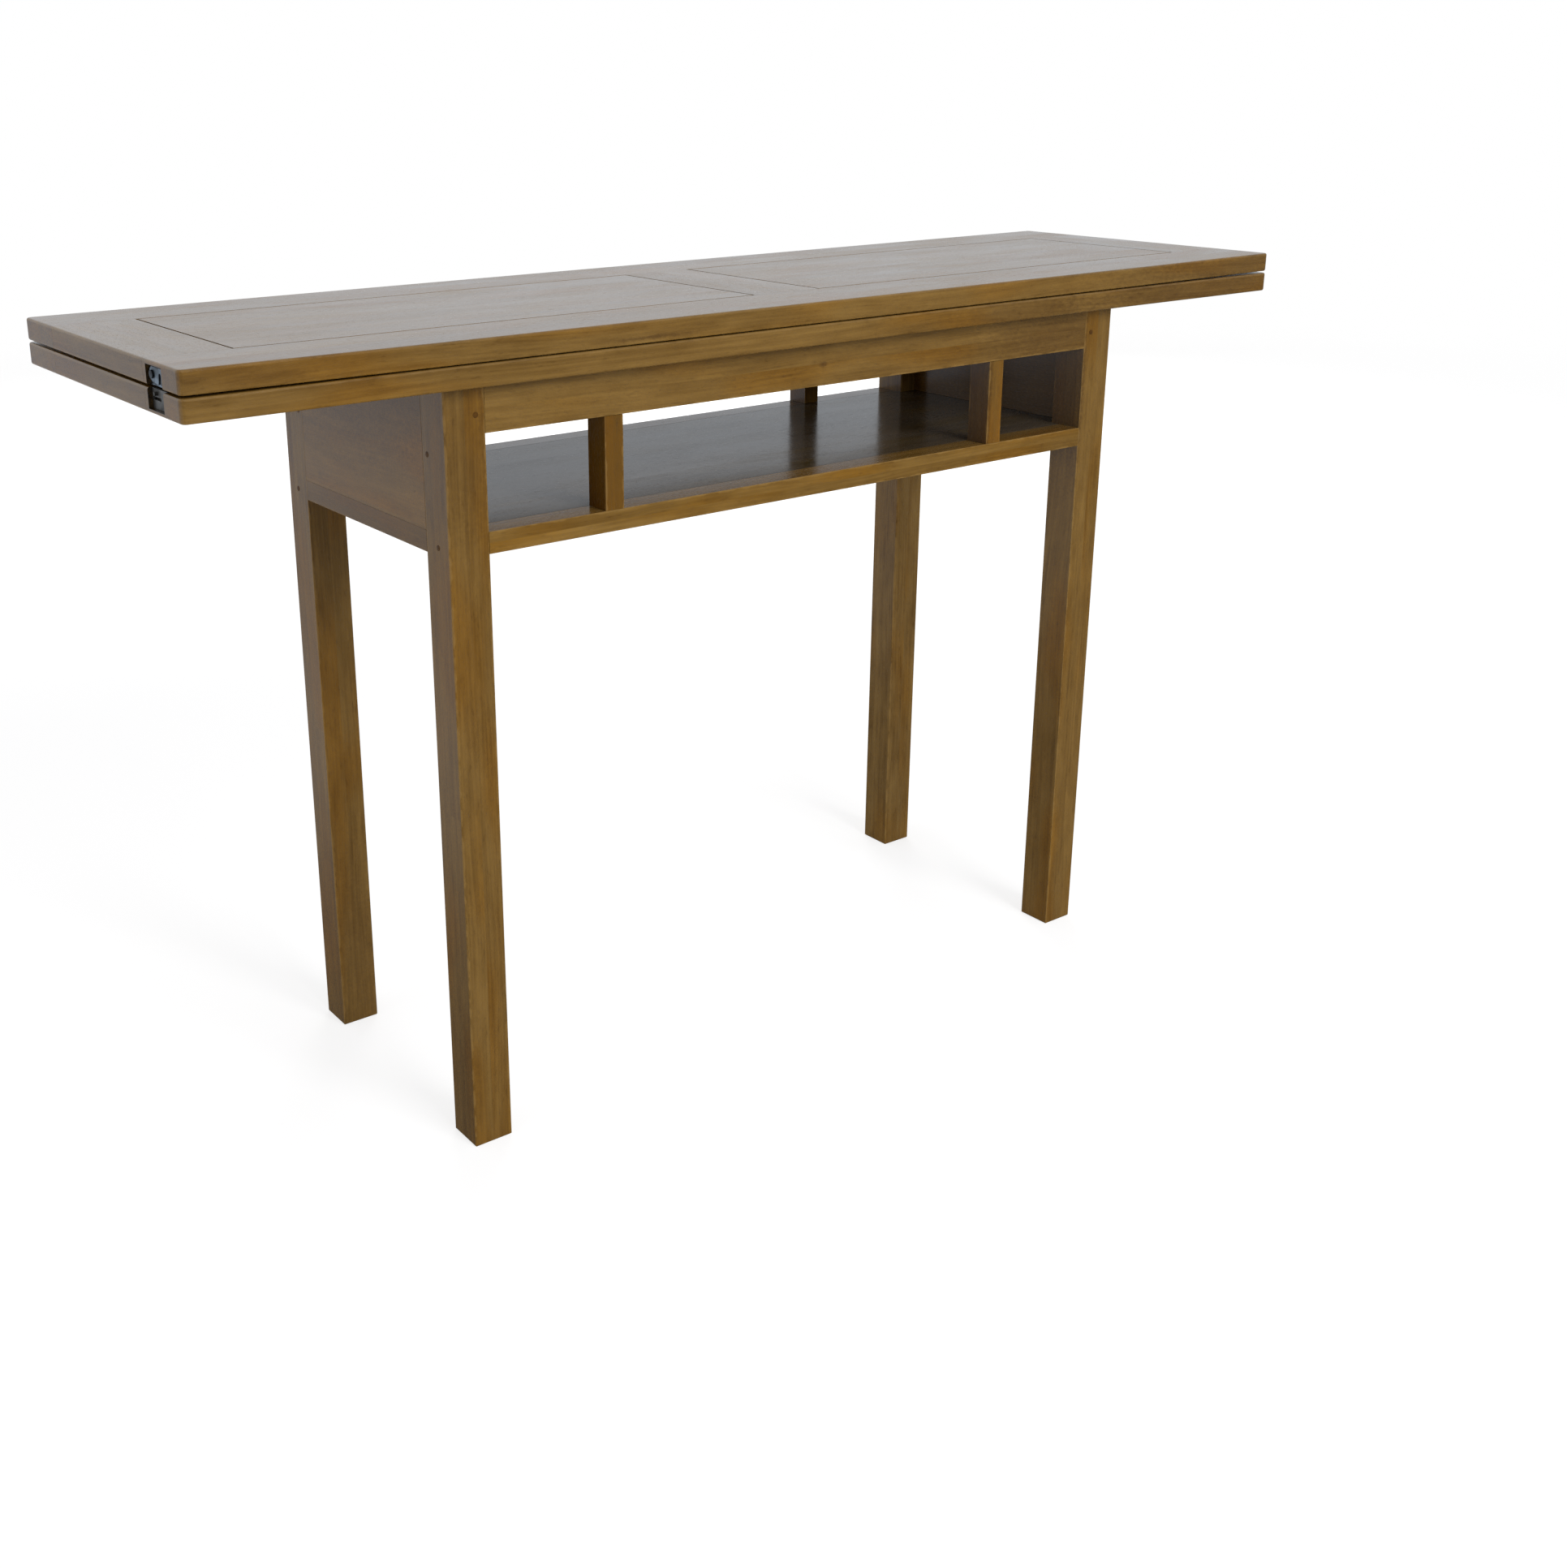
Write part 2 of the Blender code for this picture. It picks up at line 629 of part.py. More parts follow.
def make_hinge(place, x, rails):
    """A link hinge: a plate in each leaf, a pin in each plate and a link that turns on both pins."""
    start = x - HINGE_WIDTH / 2
    end = x + HINGE_WIDTH / 2
    made = {}
    leaves = {"lower": (LOWER_PIN, 1, LOWER_LEAF_TOP), "upper": (UPPER_PIN, -1, UPPER_LEAF_BOTTOM)}
    for leaf, (pin, upward, face) in leaves.items():
        made[leaf] = [
            hinge_plate(f"hinge_{place}_{leaf}_plate", start, end, pin, upward),
            rod(f"hinge_{place}_{leaf}_pin", HINGE_PIN_RADIUS, start, end, pin.y, pin.z),
        ]
        pockets = (
            (HINGE_PLATE_DEPTH, HINGE_PLATE_SUNK + HINGE_PLATE_THICKNESS),
            (PIN_INSET + HINGE_KNUCKLE_RADIUS, PIN_DEPTH + HINGE_KNUCKLE_RADIUS),
        )
        for inward, depth in pockets:
            cut(
                rails[leaf],
                (start - GLUE_LINE, LEAF_Y - inward - RUNNING_GAP, face - upward * (depth + RUNNING_GAP)),
                (end + GLUE_LINE, LEAF_Y + LEAF_GAP, face + upward * LEAF_GAP),
            )
    length = UPPER_PIN.z - LOWER_PIN.z
    radius = HINGE_KNUCKLE_RADIUS
    bore = HINGE_PIN_RADIUS + PIN_PLAY
    outline = arc(radius, 180, 360) + arc(radius, 0, 180, (0.0, length))
    half = HINGE_LINK_WIDTH / 2
    link = plate(
        f"hinge_{place}_link",
        [outline, circle(bore), circle(bore, (0.0, length))],
        x - half,
        x + half,
        LOWER_PIN.y,
        LOWER_PIN.z,
    )
    return made, link


def hook_outline():
    """The stowed hook, seen along X from its pivot: an arm to the front with a notch in its lower side.

    The notch follows arcs round the pivot, so that it passes the stud without touching it.
    """
    notch = STUD_RADIUS + HOOK_NOTCH_PLAY
    inner = HOOK_REACH - notch
    outer = HOOK_REACH + notch
    low = HOOK_LOWER_SIDE

    def drop(radius):
        return math.degrees(math.asin(low / radius))

    tip_top = math.degrees(math.asin(HOOK_UPPER_SIDE / HOOK_SWING))
    points = arc(HOOK_UPPER_SIDE, 90, 270)
    points += arc(inner, -drop(inner), 0)
    points += arc(notch, 180, 0, (HOOK_REACH, 0.0))[1:-1]
    points += arc(outer, 0, -drop(outer))
    points += arc(HOOK_SWING, -drop(HOOK_SWING), tip_top)
    return [(-forward, up) for forward, up in points]


def make_catch(side, rails):
    """A hook catch let into the ends of both leaves: plate, hook and rivet above, keeper below."""
    x_sign = SIDES[side]
    end = x_sign * LEAF_X
    floor = x_sign * (LEAF_X - CATCH_DEPTH)
    front = HOOK_PIVOT_Y - HOOK_SWING - CATCH_SWING_GAP
    back = HOOK_PIVOT_Y + CATCH_TAIL
    ceiling = HOOK_PIVOT_Z + HOOK_UPPER_SIDE + CATCH_SWING_GAP
    sill = HOOK_PIVOT_Z - HOOK_SWING - CATCH_SWING_GAP - KEEPER_SILL
    beyond = x_sign * (LEAF_X + CATCH_DEPTH)
    cut(rails["upper"], (floor, front, UPPER_LEAF_BOTTOM - LEAF_GAP / 2), (beyond, back, ceiling))
    cut(rails["lower"], (floor, front, sill), (beyond, back, LOWER_LEAF_TOP + LEAF_GAP / 2))

    plate_inside = floor + x_sign * GLUE_LINE
    plate_outside = plate_inside + x_sign * CATCH_PLATE_THICKNESS
    hook_inside = plate_outside + x_sign * RUNNING_GAP
    hook_outside = hook_inside + x_sign * HOOK_THICKNESS
    head_inside = hook_outside + x_sign * RUNNING_GAP
    head_outside = head_inside + x_sign * RIVET_HEAD_HEIGHT

    catch_plate = block(
        f"catch_{side}_plate",
        (plate_inside, front + GLUE_LINE, UPPER_LEAF_BOTTOM + GLUE_LINE),
        (plate_outside, back - GLUE_LINE, ceiling - GLUE_LINE),
    )
    bore = rod(
        f"catch_{side}_plate_bore",
        RIVET_RADIUS + PIN_PLAY,
        floor,
        end,
        HOOK_PIVOT_Y,
        HOOK_PIVOT_Z,
        CUTTERS,
    )
    boolean(catch_plate, as_tool(bore), "DIFFERENCE")
    hook = plate(
        f"catch_{side}_hook",
        [hook_outline(), circle(RIVET_RADIUS + PIN_PLAY)],
        hook_inside,
        hook_outside,
        HOOK_PIVOT_Y,
        HOOK_PIVOT_Z,
    )
    rivet = rod(
        f"catch_{side}_rivet", RIVET_RADIUS, plate_inside, head_outside, HOOK_PIVOT_Y, HOOK_PIVOT_Z
    )
    head = rod(
        f"catch_{side}_rivet_head",
        RIVET_HEAD_RADIUS,
        head_inside,
        head_outside + x_sign * RUNNING_GAP,
        HOOK_PIVOT_Y,
        HOOK_PIVOT_Z,
        CUTTERS,
    )
    boolean(rivet, as_tool(head), "UNION")

    stud_z = LOWER_LEAF_TOP - STUD_DROP
    slot_top = stud_z - KEEPER_SLOT_DROP + KEEPER_SLOT_HEIGHT / 2
    keeper = block(
        f"catch_{side}_keeper",
        (plate_inside, front + GLUE_LINE, sill + GLUE_LINE),
        (plate_outside, back - GLUE_LINE, LOWER_LEAF_TOP - GLUE_LINE),
    )
    stud = rod(
        f"catch_{side}_keeper_stud",
        STUD_RADIUS,
        plate_inside + x_sign * CATCH_PLATE_THICKNESS / 2,
        head_inside,
        HOOK_PIVOT_Y,
        stud_z,
        CUTTERS,
    )
    boolean(keeper, as_tool(stud), "UNION")
    cut(
        keeper,
        (floor, HOOK_PIVOT_Y - KEEPER_SLOT_WIDTH / 2, slot_top - KEEPER_SLOT_HEIGHT),
        (end, HOOK_PIVOT_Y + KEEPER_SLOT_WIDTH / 2, slot_top),
    )
    return catch_plate, hook, rivet, keeper


def dress(pieces, look, empty):
    for piece in pieces:
        finish(piece, look)
        carry(piece, empty)


def build():
    base = carrier("base_origin", Vector((0, 0, 0)))
    lower = carrier("lower_leaf_origin", Vector((0, 0, LOWER_LEAF_BOTTOM)), base)
    links = carrier("hinge_link_axis", LOWER_PIN, lower)
    upper = carrier("upper_leaf_axis", UPPER_PIN, links)

    legs = make_legs()
    top_rails = {}
    shelf_rails = {}
    for face in FACES:
        top_rails[face] = long_rail(
            f"top_rail_{face}", face, TOP_RAIL_THICKNESS, SHELF_TOP + SHELF_OPENING, BASE_HEIGHT, legs
        )
        shelf_rails[face] = long_rail(
            f"shelf_rail_{face}", face, SHELF_RAIL_THICKNESS, SHELF_TOP - SHELF_RAIL_HEIGHT, SHELF_TOP, legs
        )
    frame = list(legs.values()) + list(top_rails.values()) + list(shelf_rails.values())
    for side in SIDES:
        frame += make_end(side, legs)
        frame += [make_post(face, side, shelf_rails[face], top_rails[face]) for face in FACES]
    dress(frame, STAINED_WOOD, base)
    dress([make_shelf(list(shelf_rails.values()), legs)], SHELF_WOOD, base)
    dress([make_guide(side, list(top_rails.values())) for side in SIDES], GUIDE_WOOD, base)
    dress([make_shoe(side) for side in SIDES], GUIDE_WOOD, lower)

    carriers = {"lower": lower, "upper": upper}
    rails = {}
    for leaf, bottom in (("lower", LOWER_LEAF_BOTTOM), ("upper", UPPER_LEAF_BOTTOM)):
        rails[leaf], stiles, panels = make_leaf(leaf, bottom)
        dress(list(rails[leaf].values()) + stiles + panels, STAINED_WOOD, carriers[leaf])

    back_rails = {leaf: pair["back"] for leaf, pair in rails.items()}
    front_rails = {leaf: pair["front"] for leaf, pair in rails.items()}
    for place, x in (("left", -HINGE_X), ("centre", 0.0), ("right", HINGE_X)):
        plates_and_pins, link = make_hinge(place, x, back_rails)
        for leaf, pieces in plates_and_pins.items():
            dress(pieces, HINGE_METAL, carriers[leaf])
        dress([link], HINGE_METAL, links)
    for side in SIDES:
        catch_plate, hook, rivet, keeper = make_catch(side, front_rails)
        dress([catch_plate, hook, rivet], BLUED_STEEL, upper)
        dress([keeper], BLUED_STEEL, lower)


build()
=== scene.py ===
import math

import bmesh
import bpy
from mathutils import Matrix, Vector


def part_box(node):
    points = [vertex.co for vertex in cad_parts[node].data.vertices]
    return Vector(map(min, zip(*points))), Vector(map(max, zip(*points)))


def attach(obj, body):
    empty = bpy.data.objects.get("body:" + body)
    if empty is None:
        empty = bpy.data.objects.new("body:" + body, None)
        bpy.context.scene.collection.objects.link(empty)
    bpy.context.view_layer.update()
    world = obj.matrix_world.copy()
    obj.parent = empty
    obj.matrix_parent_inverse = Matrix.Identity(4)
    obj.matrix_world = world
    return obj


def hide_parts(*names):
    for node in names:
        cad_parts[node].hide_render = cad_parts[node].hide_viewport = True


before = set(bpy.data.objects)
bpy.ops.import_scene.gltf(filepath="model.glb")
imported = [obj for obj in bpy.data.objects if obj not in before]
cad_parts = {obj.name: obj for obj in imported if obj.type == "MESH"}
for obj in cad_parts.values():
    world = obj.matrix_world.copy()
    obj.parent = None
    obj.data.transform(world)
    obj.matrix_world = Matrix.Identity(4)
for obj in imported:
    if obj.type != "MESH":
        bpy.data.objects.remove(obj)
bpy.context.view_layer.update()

# Legs: four straight posts of hardwood, 40 mm square with eased edges, standing on their plain ends.
# Each is glued up from two strips with the grain upright, stained golden brown under satin lacquer.
STAIN_PALE = (0.262, 0.150, 0.036, 1.0)
STAIN_DEEP = (0.114, 0.058, 0.011, 1.0)
RUBBED_STAIN = (0.320, 0.190, 0.056, 1.0)
KNOT_PORE_AND_SHADE_BROWN = (0.046, 0.019, 0.006, 1.0)
POCKET_SHADE_BLACK = (0.012, 0.009, 0.007, 1.0)
RUDDY = (1.03, 0.90, 0.52, 1.0)
LACQUER_ROUGHNESS = 0.20
LACQUER_IOR = 1.5
GRAIN_RELIEF = 0.0004
STAVE_SPREAD = (3.0, 3.0, 3.0)
GRAIN_SWAY = (0.0, 0.030, 0.030)
PITH_SPREAD = (0.0, 0.030, 0.030)
PITH_STEP = 0.31
PITH_SIDE = 0.012
PITH_DEPTH = 0.075
PITH_DEPTH_CHANGE = 0.03
ARRIS_WIDTH = 0.0022
COVERED_REACH = 0.05
SHADE_FRAY_DEPTH = 0.0006
LEG_STRIP = 0.020
AXES = {"X": Vector((1, 0, 0)), "Y": Vector((0, 1, 0)), "Z": Vector((0, 0, 1))}


def node(tree, kind, inputs=None, **settings):
    """Adds a node. Its inputs are given by name or number, as values or as the sockets that feed them."""
    made = tree.nodes.new(kind)
    for name, value in settings.items():
        setattr(made, name, value)
    for key, value in (inputs or {}).items():
        if isinstance(value, bpy.types.NodeSocket):
            tree.links.new(value, made.inputs[key])
        else:
            made.inputs[key].default_value = value
    return made


def calc(tree, operation, *values, clamp=False):
    made = node(tree, "ShaderNodeMath", dict(enumerate(values)), operation=operation, use_clamp=clamp)
    return made.outputs[0]


def vector_calc(tree, operation, *values):
    made = node(tree, "ShaderNodeVectorMath", dict(enumerate(values)), operation=operation)
    return made.outputs["Value" if operation == "LENGTH" else "Vector"]


def split(tree, vector):
    return node(tree, "ShaderNodeSeparateXYZ", {0: vector}).outputs


def fade(tree, value, low, high, start=0.0, end=1.0):
    """A soft step from start, where the value is low, to end, where it is high."""
    limits = {"Value": value, "From Min": low, "From Max": high, "To Min": start, "To Max": end}
    return node(tree, "ShaderNodeMapRange", limits, interpolation_type="SMOOTHSTEP").outputs["Result"]


def mix_colour(tree, factor, first, second, blend="MIX"):
    """Mixes two colours. The numbers are those of the Mix node's colour sockets."""
    sockets = {0: factor, 6: first, 7: second}
    return node(tree, "ShaderNodeMix", sockets, data_type="RGBA", blend_type=blend).outputs[2]


def grain_noise(tree, vector, waves, detail, part="Fac"):
    """Noise drawn out along the grain. waves says how many fit in a metre along the grain and across it."""
    along, across = waves
    drawn = vector_calc(tree, "MULTIPLY", vector, (along, across, across))
    return node(tree, "ShaderNodeTexNoise", {"Vector": drawn, "Scale": 1.0, "Detail": detail}).outputs[part]


def effect(name, inputs, outputs):
    """A shader node group with named inputs and outputs, and its two ends."""
    group = bpy.data.node_groups.new(name, "ShaderNodeTree")
    for title, kind, value in inputs:
        group.interface.new_socket(name=title, in_out="INPUT", socket_type=kind).default_value = value
    for title, kind in outputs:
        group.interface.new_socket(name=title, in_out="OUTPUT", socket_type=kind)
    return group, group.nodes.new("NodeGroupInput").outputs, group.nodes.new("NodeGroupOutput").inputs


def make_board_figure():
    """The figure of sawn hardwood in grain space, with X along the grain and the pith on the X axis."""
    tree, given, shown = effect(
        "board_figure",
        [
            ("Vector", "NodeSocketVector", (0.0, 0.0, 0.0)),
            ("Middle", "NodeSocketVector", (0.0, 0.0, 0.0)),
            ("Pale", "NodeSocketColor", STAIN_PALE),
            ("Deep", "NodeSocketColor", STAIN_DEEP),
            ("Stave Width", "NodeSocketFloat", 1.0),
            ("Darkening", "NodeSocketFloat", 0.0),
            ("Roughness", "NodeSocketFloat", LACQUER_ROUGHNESS),
            ("Pore Depth", "NodeSocketFloat", 0.25),
        ],
        [("Color", "NodeSocketColor"), ("Roughness", "NodeSocketFloat"), ("Height", "NodeSocketFloat")],
    )
    from_middle = split(tree, vector_calc(tree, "SUBTRACT", given["Vector"], given["Middle"]))
    row = calc(tree, "FLOOR", calc(tree, "DIVIDE", from_middle["Y"], given["Stave Width"]))
    stave = node(tree, "ShaderNodeTexWhiteNoise", {"W": row}, noise_dimensions="1D").outputs

    stave_offset = vector_calc(tree, "MULTIPLY", stave["Color"], STAVE_SPREAD)
    loose = vector_calc(tree, "ADD", given["Vector"], stave_offset)
    wander = grain_noise(tree, loose, (2.2, 9.0), 1.0, "Color")
    sway = vector_calc(tree, "SUBTRACT", wander, (0.5, 0.5, 0.5))
    sway = vector_calc(tree, "MULTIPLY", sway, GRAIN_SWAY)
    fibre_space = vector_calc(tree, "ADD", loose, sway)
    pith_shift = vector_calc(tree, "MULTIPLY", stave["Color"], PITH_SPREAD)
    ring_space = vector_calc(tree, "ADD", vector_calc(tree, "ADD", given["Vector"], sway), pith_shift)
    from_pith = vector_calc(tree, "LENGTH", vector_calc(tree, "MULTIPLY", ring_space, (0.0, 1.0, 1.0)))
    along = split(tree, loose)["X"]
    ring_place = node(tree, "ShaderNodeCombineXYZ", {"X": along, "Y": from_pith}).outputs[0]

    rings = grain_noise(tree, ring_place, (0.8, 150.0), 2.0)
    fibres = grain_noise(tree, fibre_space, (9.0, 420.0), 4.0)
    mottle = grain_noise(tree, fibre_space, (26.0, 90.0), 3.0)
    drift = grain_noise(tree, fibre_space, (7.0, 20.0), 1.0)
    pores = fade(tree, grain_noise(tree, fibre_space, (170.0, 2400.0), 0.0), 0.62, 0.74)
    flecks = fade(tree, grain_noise(tree, fibre_space, (95.0, 360.0), 1.0), 0.60, 0.78)

    fall = calc(tree, "MULTIPLY", given["Darkening"], -1.0)
    tone = calc(tree, "MULTIPLY_ADD", from_middle["X"], fall, 0.5)
    shares = ((0.75, rings), (0.90, fibres), (0.70, mottle), (0.50, drift), (0.10, stave["Value"]))
    for share, value in shares:
        tone = calc(tree, "MULTIPLY_ADD", calc(tree, "SUBTRACT", value, 0.5), share, tone)
    tone = calc(tree, "MULTIPLY_ADD", flecks, -0.20, tone)
    colour = mix_colour(tree, calc(tree, "ADD", tone, 0.0, clamp=True), given["Deep"], given["Pale"])
    ruddy = fade(tree, grain_noise(tree, fibre_space, (6.0, 26.0), 1.0), 0.45, 0.70)
    colour = mix_colour(tree, ruddy, colour, mix_colour(tree, 1.0, colour, RUDDY, "MULTIPLY"))
    colour = mix_colour(tree, calc(tree, "MULTIPLY", pores, given["Pore Depth"]), colour, KNOT_PORE_AND_SHADE_BROWN)
    tree.links.new(colour, shown["Color"])

    rubbed = calc(tree, "MULTIPLY_ADD", calc(tree, "SUBTRACT", drift, 0.5), 0.16, given["Roughness"])
    dulled = calc(tree, "MULTIPLY_ADD", calc(tree, "SUBTRACT", mottle, 0.5), 0.10, rubbed)
    tree.links.new(calc(tree, "MULTIPLY_ADD", pores, 0.12, dulled), shown["Roughness"])
    pitted = calc(tree, "MULTIPLY", pores, calc(tree, "MULTIPLY", given["Pore Depth"], 4.0))
    tree.links.new(calc(tree, "SUBTRACT", calc(tree, "MULTIPLY", fibres, 0.45), pitted), shown["Height"])
    return tree


def depth_in_box(tree, given):
    """How deep a place lies under the three pairs of faces of a box."""
    way = vector_calc(tree, "ABSOLUTE", vector_calc(tree, "SUBTRACT", given["Vector"], given["Centre"]))
    return split(tree, vector_calc(tree, "SUBTRACT", given["Half Size"], way))


def make_worn_arris():
    """Where the edges of a box-shaped board are rubbed.

    The middle one of the depths under its three pairs of faces is the way to the nearest edge,
    because the least of them is that of the face itself.
    """
    tree, given, shown = effect(
        "worn_arris",
        [
            ("Vector", "NodeSocketVector", (0.0, 0.0, 0.0)),
            ("Centre", "NodeSocketVector", (0.0, 0.0, 0.0)),
            ("Half Size", "NodeSocketVector", (1.0, 1.0, 1.0)),
            ("Width", "NodeSocketFloat", ARRIS_WIDTH),
        ],
        [("Wear", "NodeSocketFloat")],
    )
    depth = depth_in_box(tree, given)
    lower = calc(tree, "MINIMUM", depth["X"], depth["Y"])
    upper = calc(tree, "MINIMUM", calc(tree, "MAXIMUM", depth["X"], depth["Y"]), depth["Z"])
    edge = calc(tree, "MAXIMUM", lower, upper)
    patchy = grain_noise(tree, given["Vector"], (70.0, 70.0), 2.0)
    reach = calc(tree, "MULTIPLY", given["Width"], fade(tree, patchy, 0.35, 0.70, 0.25, 1.4))
    tree.links.new(fade(tree, calc(tree, "DIVIDE", edge, reach), 0.25, 1.0, 1.0, 0.0), shown["Wear"])
    return tree


def make_knot_and_shade():
    """A dark mark round a centre, with a frayed rim: real knots and mineral streaks, and patches of painted
    shade.
    """
    tree, given, shown = effect(
        "knot_and_shade",
        [
            ("Vector", "NodeSocketVector", (0.0, 0.0, 0.0)),
            ("Centre", "NodeSocketVector", (0.0, 0.0, 0.0)),
            ("Reach", "NodeSocketVector", (0.01, 0.01, 0.01)),
        ],
        [("Mask", "NodeSocketFloat")],
    )
    way = vector_calc(tree, "SUBTRACT", given["Vector"], given["Centre"])
    share = vector_calc(tree, "LENGTH", vector_calc(tree, "DIVIDE", way, given["Reach"]))
    fray = grain_noise(tree, given["Vector"], (160.0, 320.0), 3.0)
    frayed = calc(tree, "MULTIPLY_ADD", fray, 1.3, share)
    tree.links.new(fade(tree, frayed, 0.75, 1.75, 1.0, 0.0), shown["Mask"])
    return tree


def make_pocket_shade():
    """Painted shade inside a box-shaped hollow cut into a board: its walls are painted near black, with a
    frayed rim.
    """
    tree, given, shown = effect(
        "pocket_shade",
        [
            ("Vector", "NodeSocketVector", (0.0, 0.0, 0.0)),
            ("Centre", "NodeSocketVector", (0.0, 0.0, 0.0)),
            ("Half Size", "NodeSocketVector", (1.0, 1.0, 1.0)),
        ],
        [("Mask", "NodeSocketFloat")],
    )
    depth = depth_in_box(tree, given)
    inside = calc(tree, "MINIMUM", calc(tree, "MINIMUM", depth["X"], depth["Y"]), depth["Z"])
    shade_fray = calc(tree, "MULTIPLY", grain_noise(tree, given["Vector"], (400.0, 400.0), 2.0), SHADE_FRAY_DEPTH)
    tree.links.new(fade(tree, calc(tree, "SUBTRACT", inside, shade_fray), -SHADE_FRAY_DEPTH, 0.0002), shown["Mask"])
    return tree


BOARD_FIGURE = make_board_figure()
WORN_ARRIS = make_worn_arris()
KNOT_AND_SHADE = make_knot_and_shade()
POCKET_SHADE = make_pocket_shade()


def place_group(tree, kind, inputs):
    """Places an effect in a material and returns its outputs."""
    return node(tree, "ShaderNodeGroup", inputs, node_tree=kind).outputs


def new_material(name):
    """A material with its node tree, its shader and the Object coordinates."""
    material = bpy.data.materials.new(name)
    material.use_nodes = True
    tree = material.node_tree
    return material, tree, tree.nodes["Principled BSDF"], node(tree, "ShaderNodeTexCoord").outputs["Object"]


def feed(tree, shader, colour, look, bump, relief):
    """Joins a colour, and the roughness and relief of a look, to a shader. The relief is in metres."""
    tree.links.new(colour, shader.inputs["Base Color"])
    tree.links.new(look["Roughness"], shader.inputs["Roughness"])
    raised = node(tree, "ShaderNodeBump", {"Height": look["Height"], "Strength": bump, "Distance": relief})
    tree.links.new(raised.outputs[0], shader.inputs["Normal"])


def dress(name, material):
    """Gives a CAD node its finish."""
    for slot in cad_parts[name].material_slots:
        slot.material = material


def board(
    name, grain, across, seed, stave, pale=STAIN_PALE, deep=STAIN_DEEP, roughness=LACQUER_ROUGHNESS,
    wear=0.45, covered=(), knots_and_shade=(), shaded_pockets=(), bump=0.10, sheen=0.5, pores=0.25, darkening=0.0,
):
    """Finishes one CAD board: figure along its grain, staves side by side across it, worn edges, knots and
    patches of painted shade.

    seed picks the part of the tree that it was sawn from.
    stave is the width of the staves that it is glued up from.
    covered names the sides, such as +Y, that meet another board, so that their edges aren't rubbed.
    darkening is how much darker the board gets in each metre along its grain.
    """
    low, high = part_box(name)
    middle = (low + high) / 2
    material, tree, shader, place = new_material(f"{name}_finish")
    turn = Matrix((AXES[grain], AXES[across], AXES[grain].cross(AXES[across])))
    pith_depth = PITH_DEPTH + PITH_DEPTH_CHANGE * math.sin(1.7 * seed)
    pith = Vector((PITH_STEP * seed, PITH_SIDE * math.sin(2.4 * seed), pith_depth))
    moved = {"Vector": place, "Location": pith - turn @ middle, "Rotation": turn.to_euler()}
    grain_space = node(tree, "ShaderNodeMapping", moved).outputs[0]
    figure = place_group(tree, BOARD_FIGURE, {
        "Vector": grain_space, "Middle": pith, "Pale": pale, "Deep": deep, "Stave Width": stave,
        "Darkening": darkening, "Roughness": roughness, "Pore Depth": pores,
    })
    colour = figure["Color"]
    # Knots, streaks and patches of painted shade darken the colour.
    for centre, reach, strength in knots_and_shade:
        mask = place_group(tree, KNOT_AND_SHADE, {"Vector": place, "Centre": centre, "Reach": reach})["Mask"]
        colour = mix_colour(tree, calc(tree, "MULTIPLY", mask, strength), colour, KNOT_PORE_AND_SHADE_BROWN)
    if wear:
        for side in covered:
            axis = "XYZ".index(side[1])
            if side[0] == "-":
                low[axis] -= COVERED_REACH
            else:
                high[axis] += COVERED_REACH
        edges = {"Vector": place, "Centre": (low + high) / 2, "Half Size": (high - low) / 2}
        rubbed = place_group(tree, WORN_ARRIS, edges)["Wear"]
        colour = mix_colour(tree, calc(tree, "MULTIPLY", rubbed, wear), colour, RUBBED_STAIN)
    # The walls of mortises are painted near black, as shade.
    for centre, half in shaded_pockets:
        inside = place_group(tree, POCKET_SHADE, {"Vector": place, "Centre": centre, "Half Size": half})["Mask"]
        colour = mix_colour(tree, inside, colour, POCKET_SHADE_BLACK)
    feed(tree, shader, colour, figure, bump, GRAIN_RELIEF)
    shader.inputs["IOR"].default_value = LACQUER_IOR
    shader.inputs["Specular IOR Level"].default_value = sheen
    dress(name, material)
    return material


PALE_LEG = (0.310, 0.186, 0.052, 1.0)
# The patch near the top of the front left leg is stain. The others are painted shade: low on that leg's left
# face, low on the back left leg's front face, and on the front right leg's left face beside the shelf.
LEG_MARKS_AND_SHADE = {
    "leg_front_left": (
        ((-0.395, -0.162, 0.670), (0.060, 0.010, 0.090), 0.22),
        ((-0.415, -0.142, 0.040), (0.010, 0.040, 0.140), 0.20),
    ),
    "leg_back_left": (((-0.395, 0.125, 0.100), (0.050, 0.010, 0.160), 0.20),),
    "leg_front_right": (((0.375, -0.142, 0.650), (0.006, 0.060, 0.130), 0.55),),
}
for seed, name in enumerate(("leg_front_left", "leg_front_right", "leg_back_left", "leg_back_right")):
    pale = PALE_LEG if name == "leg_back_right" else STAIN_PALE
    board(name, "Z", "X", 1 + seed, LEG_STRIP, pale, knots_and_shade=LEG_MARKS_AND_SHADE.get(name, ()))

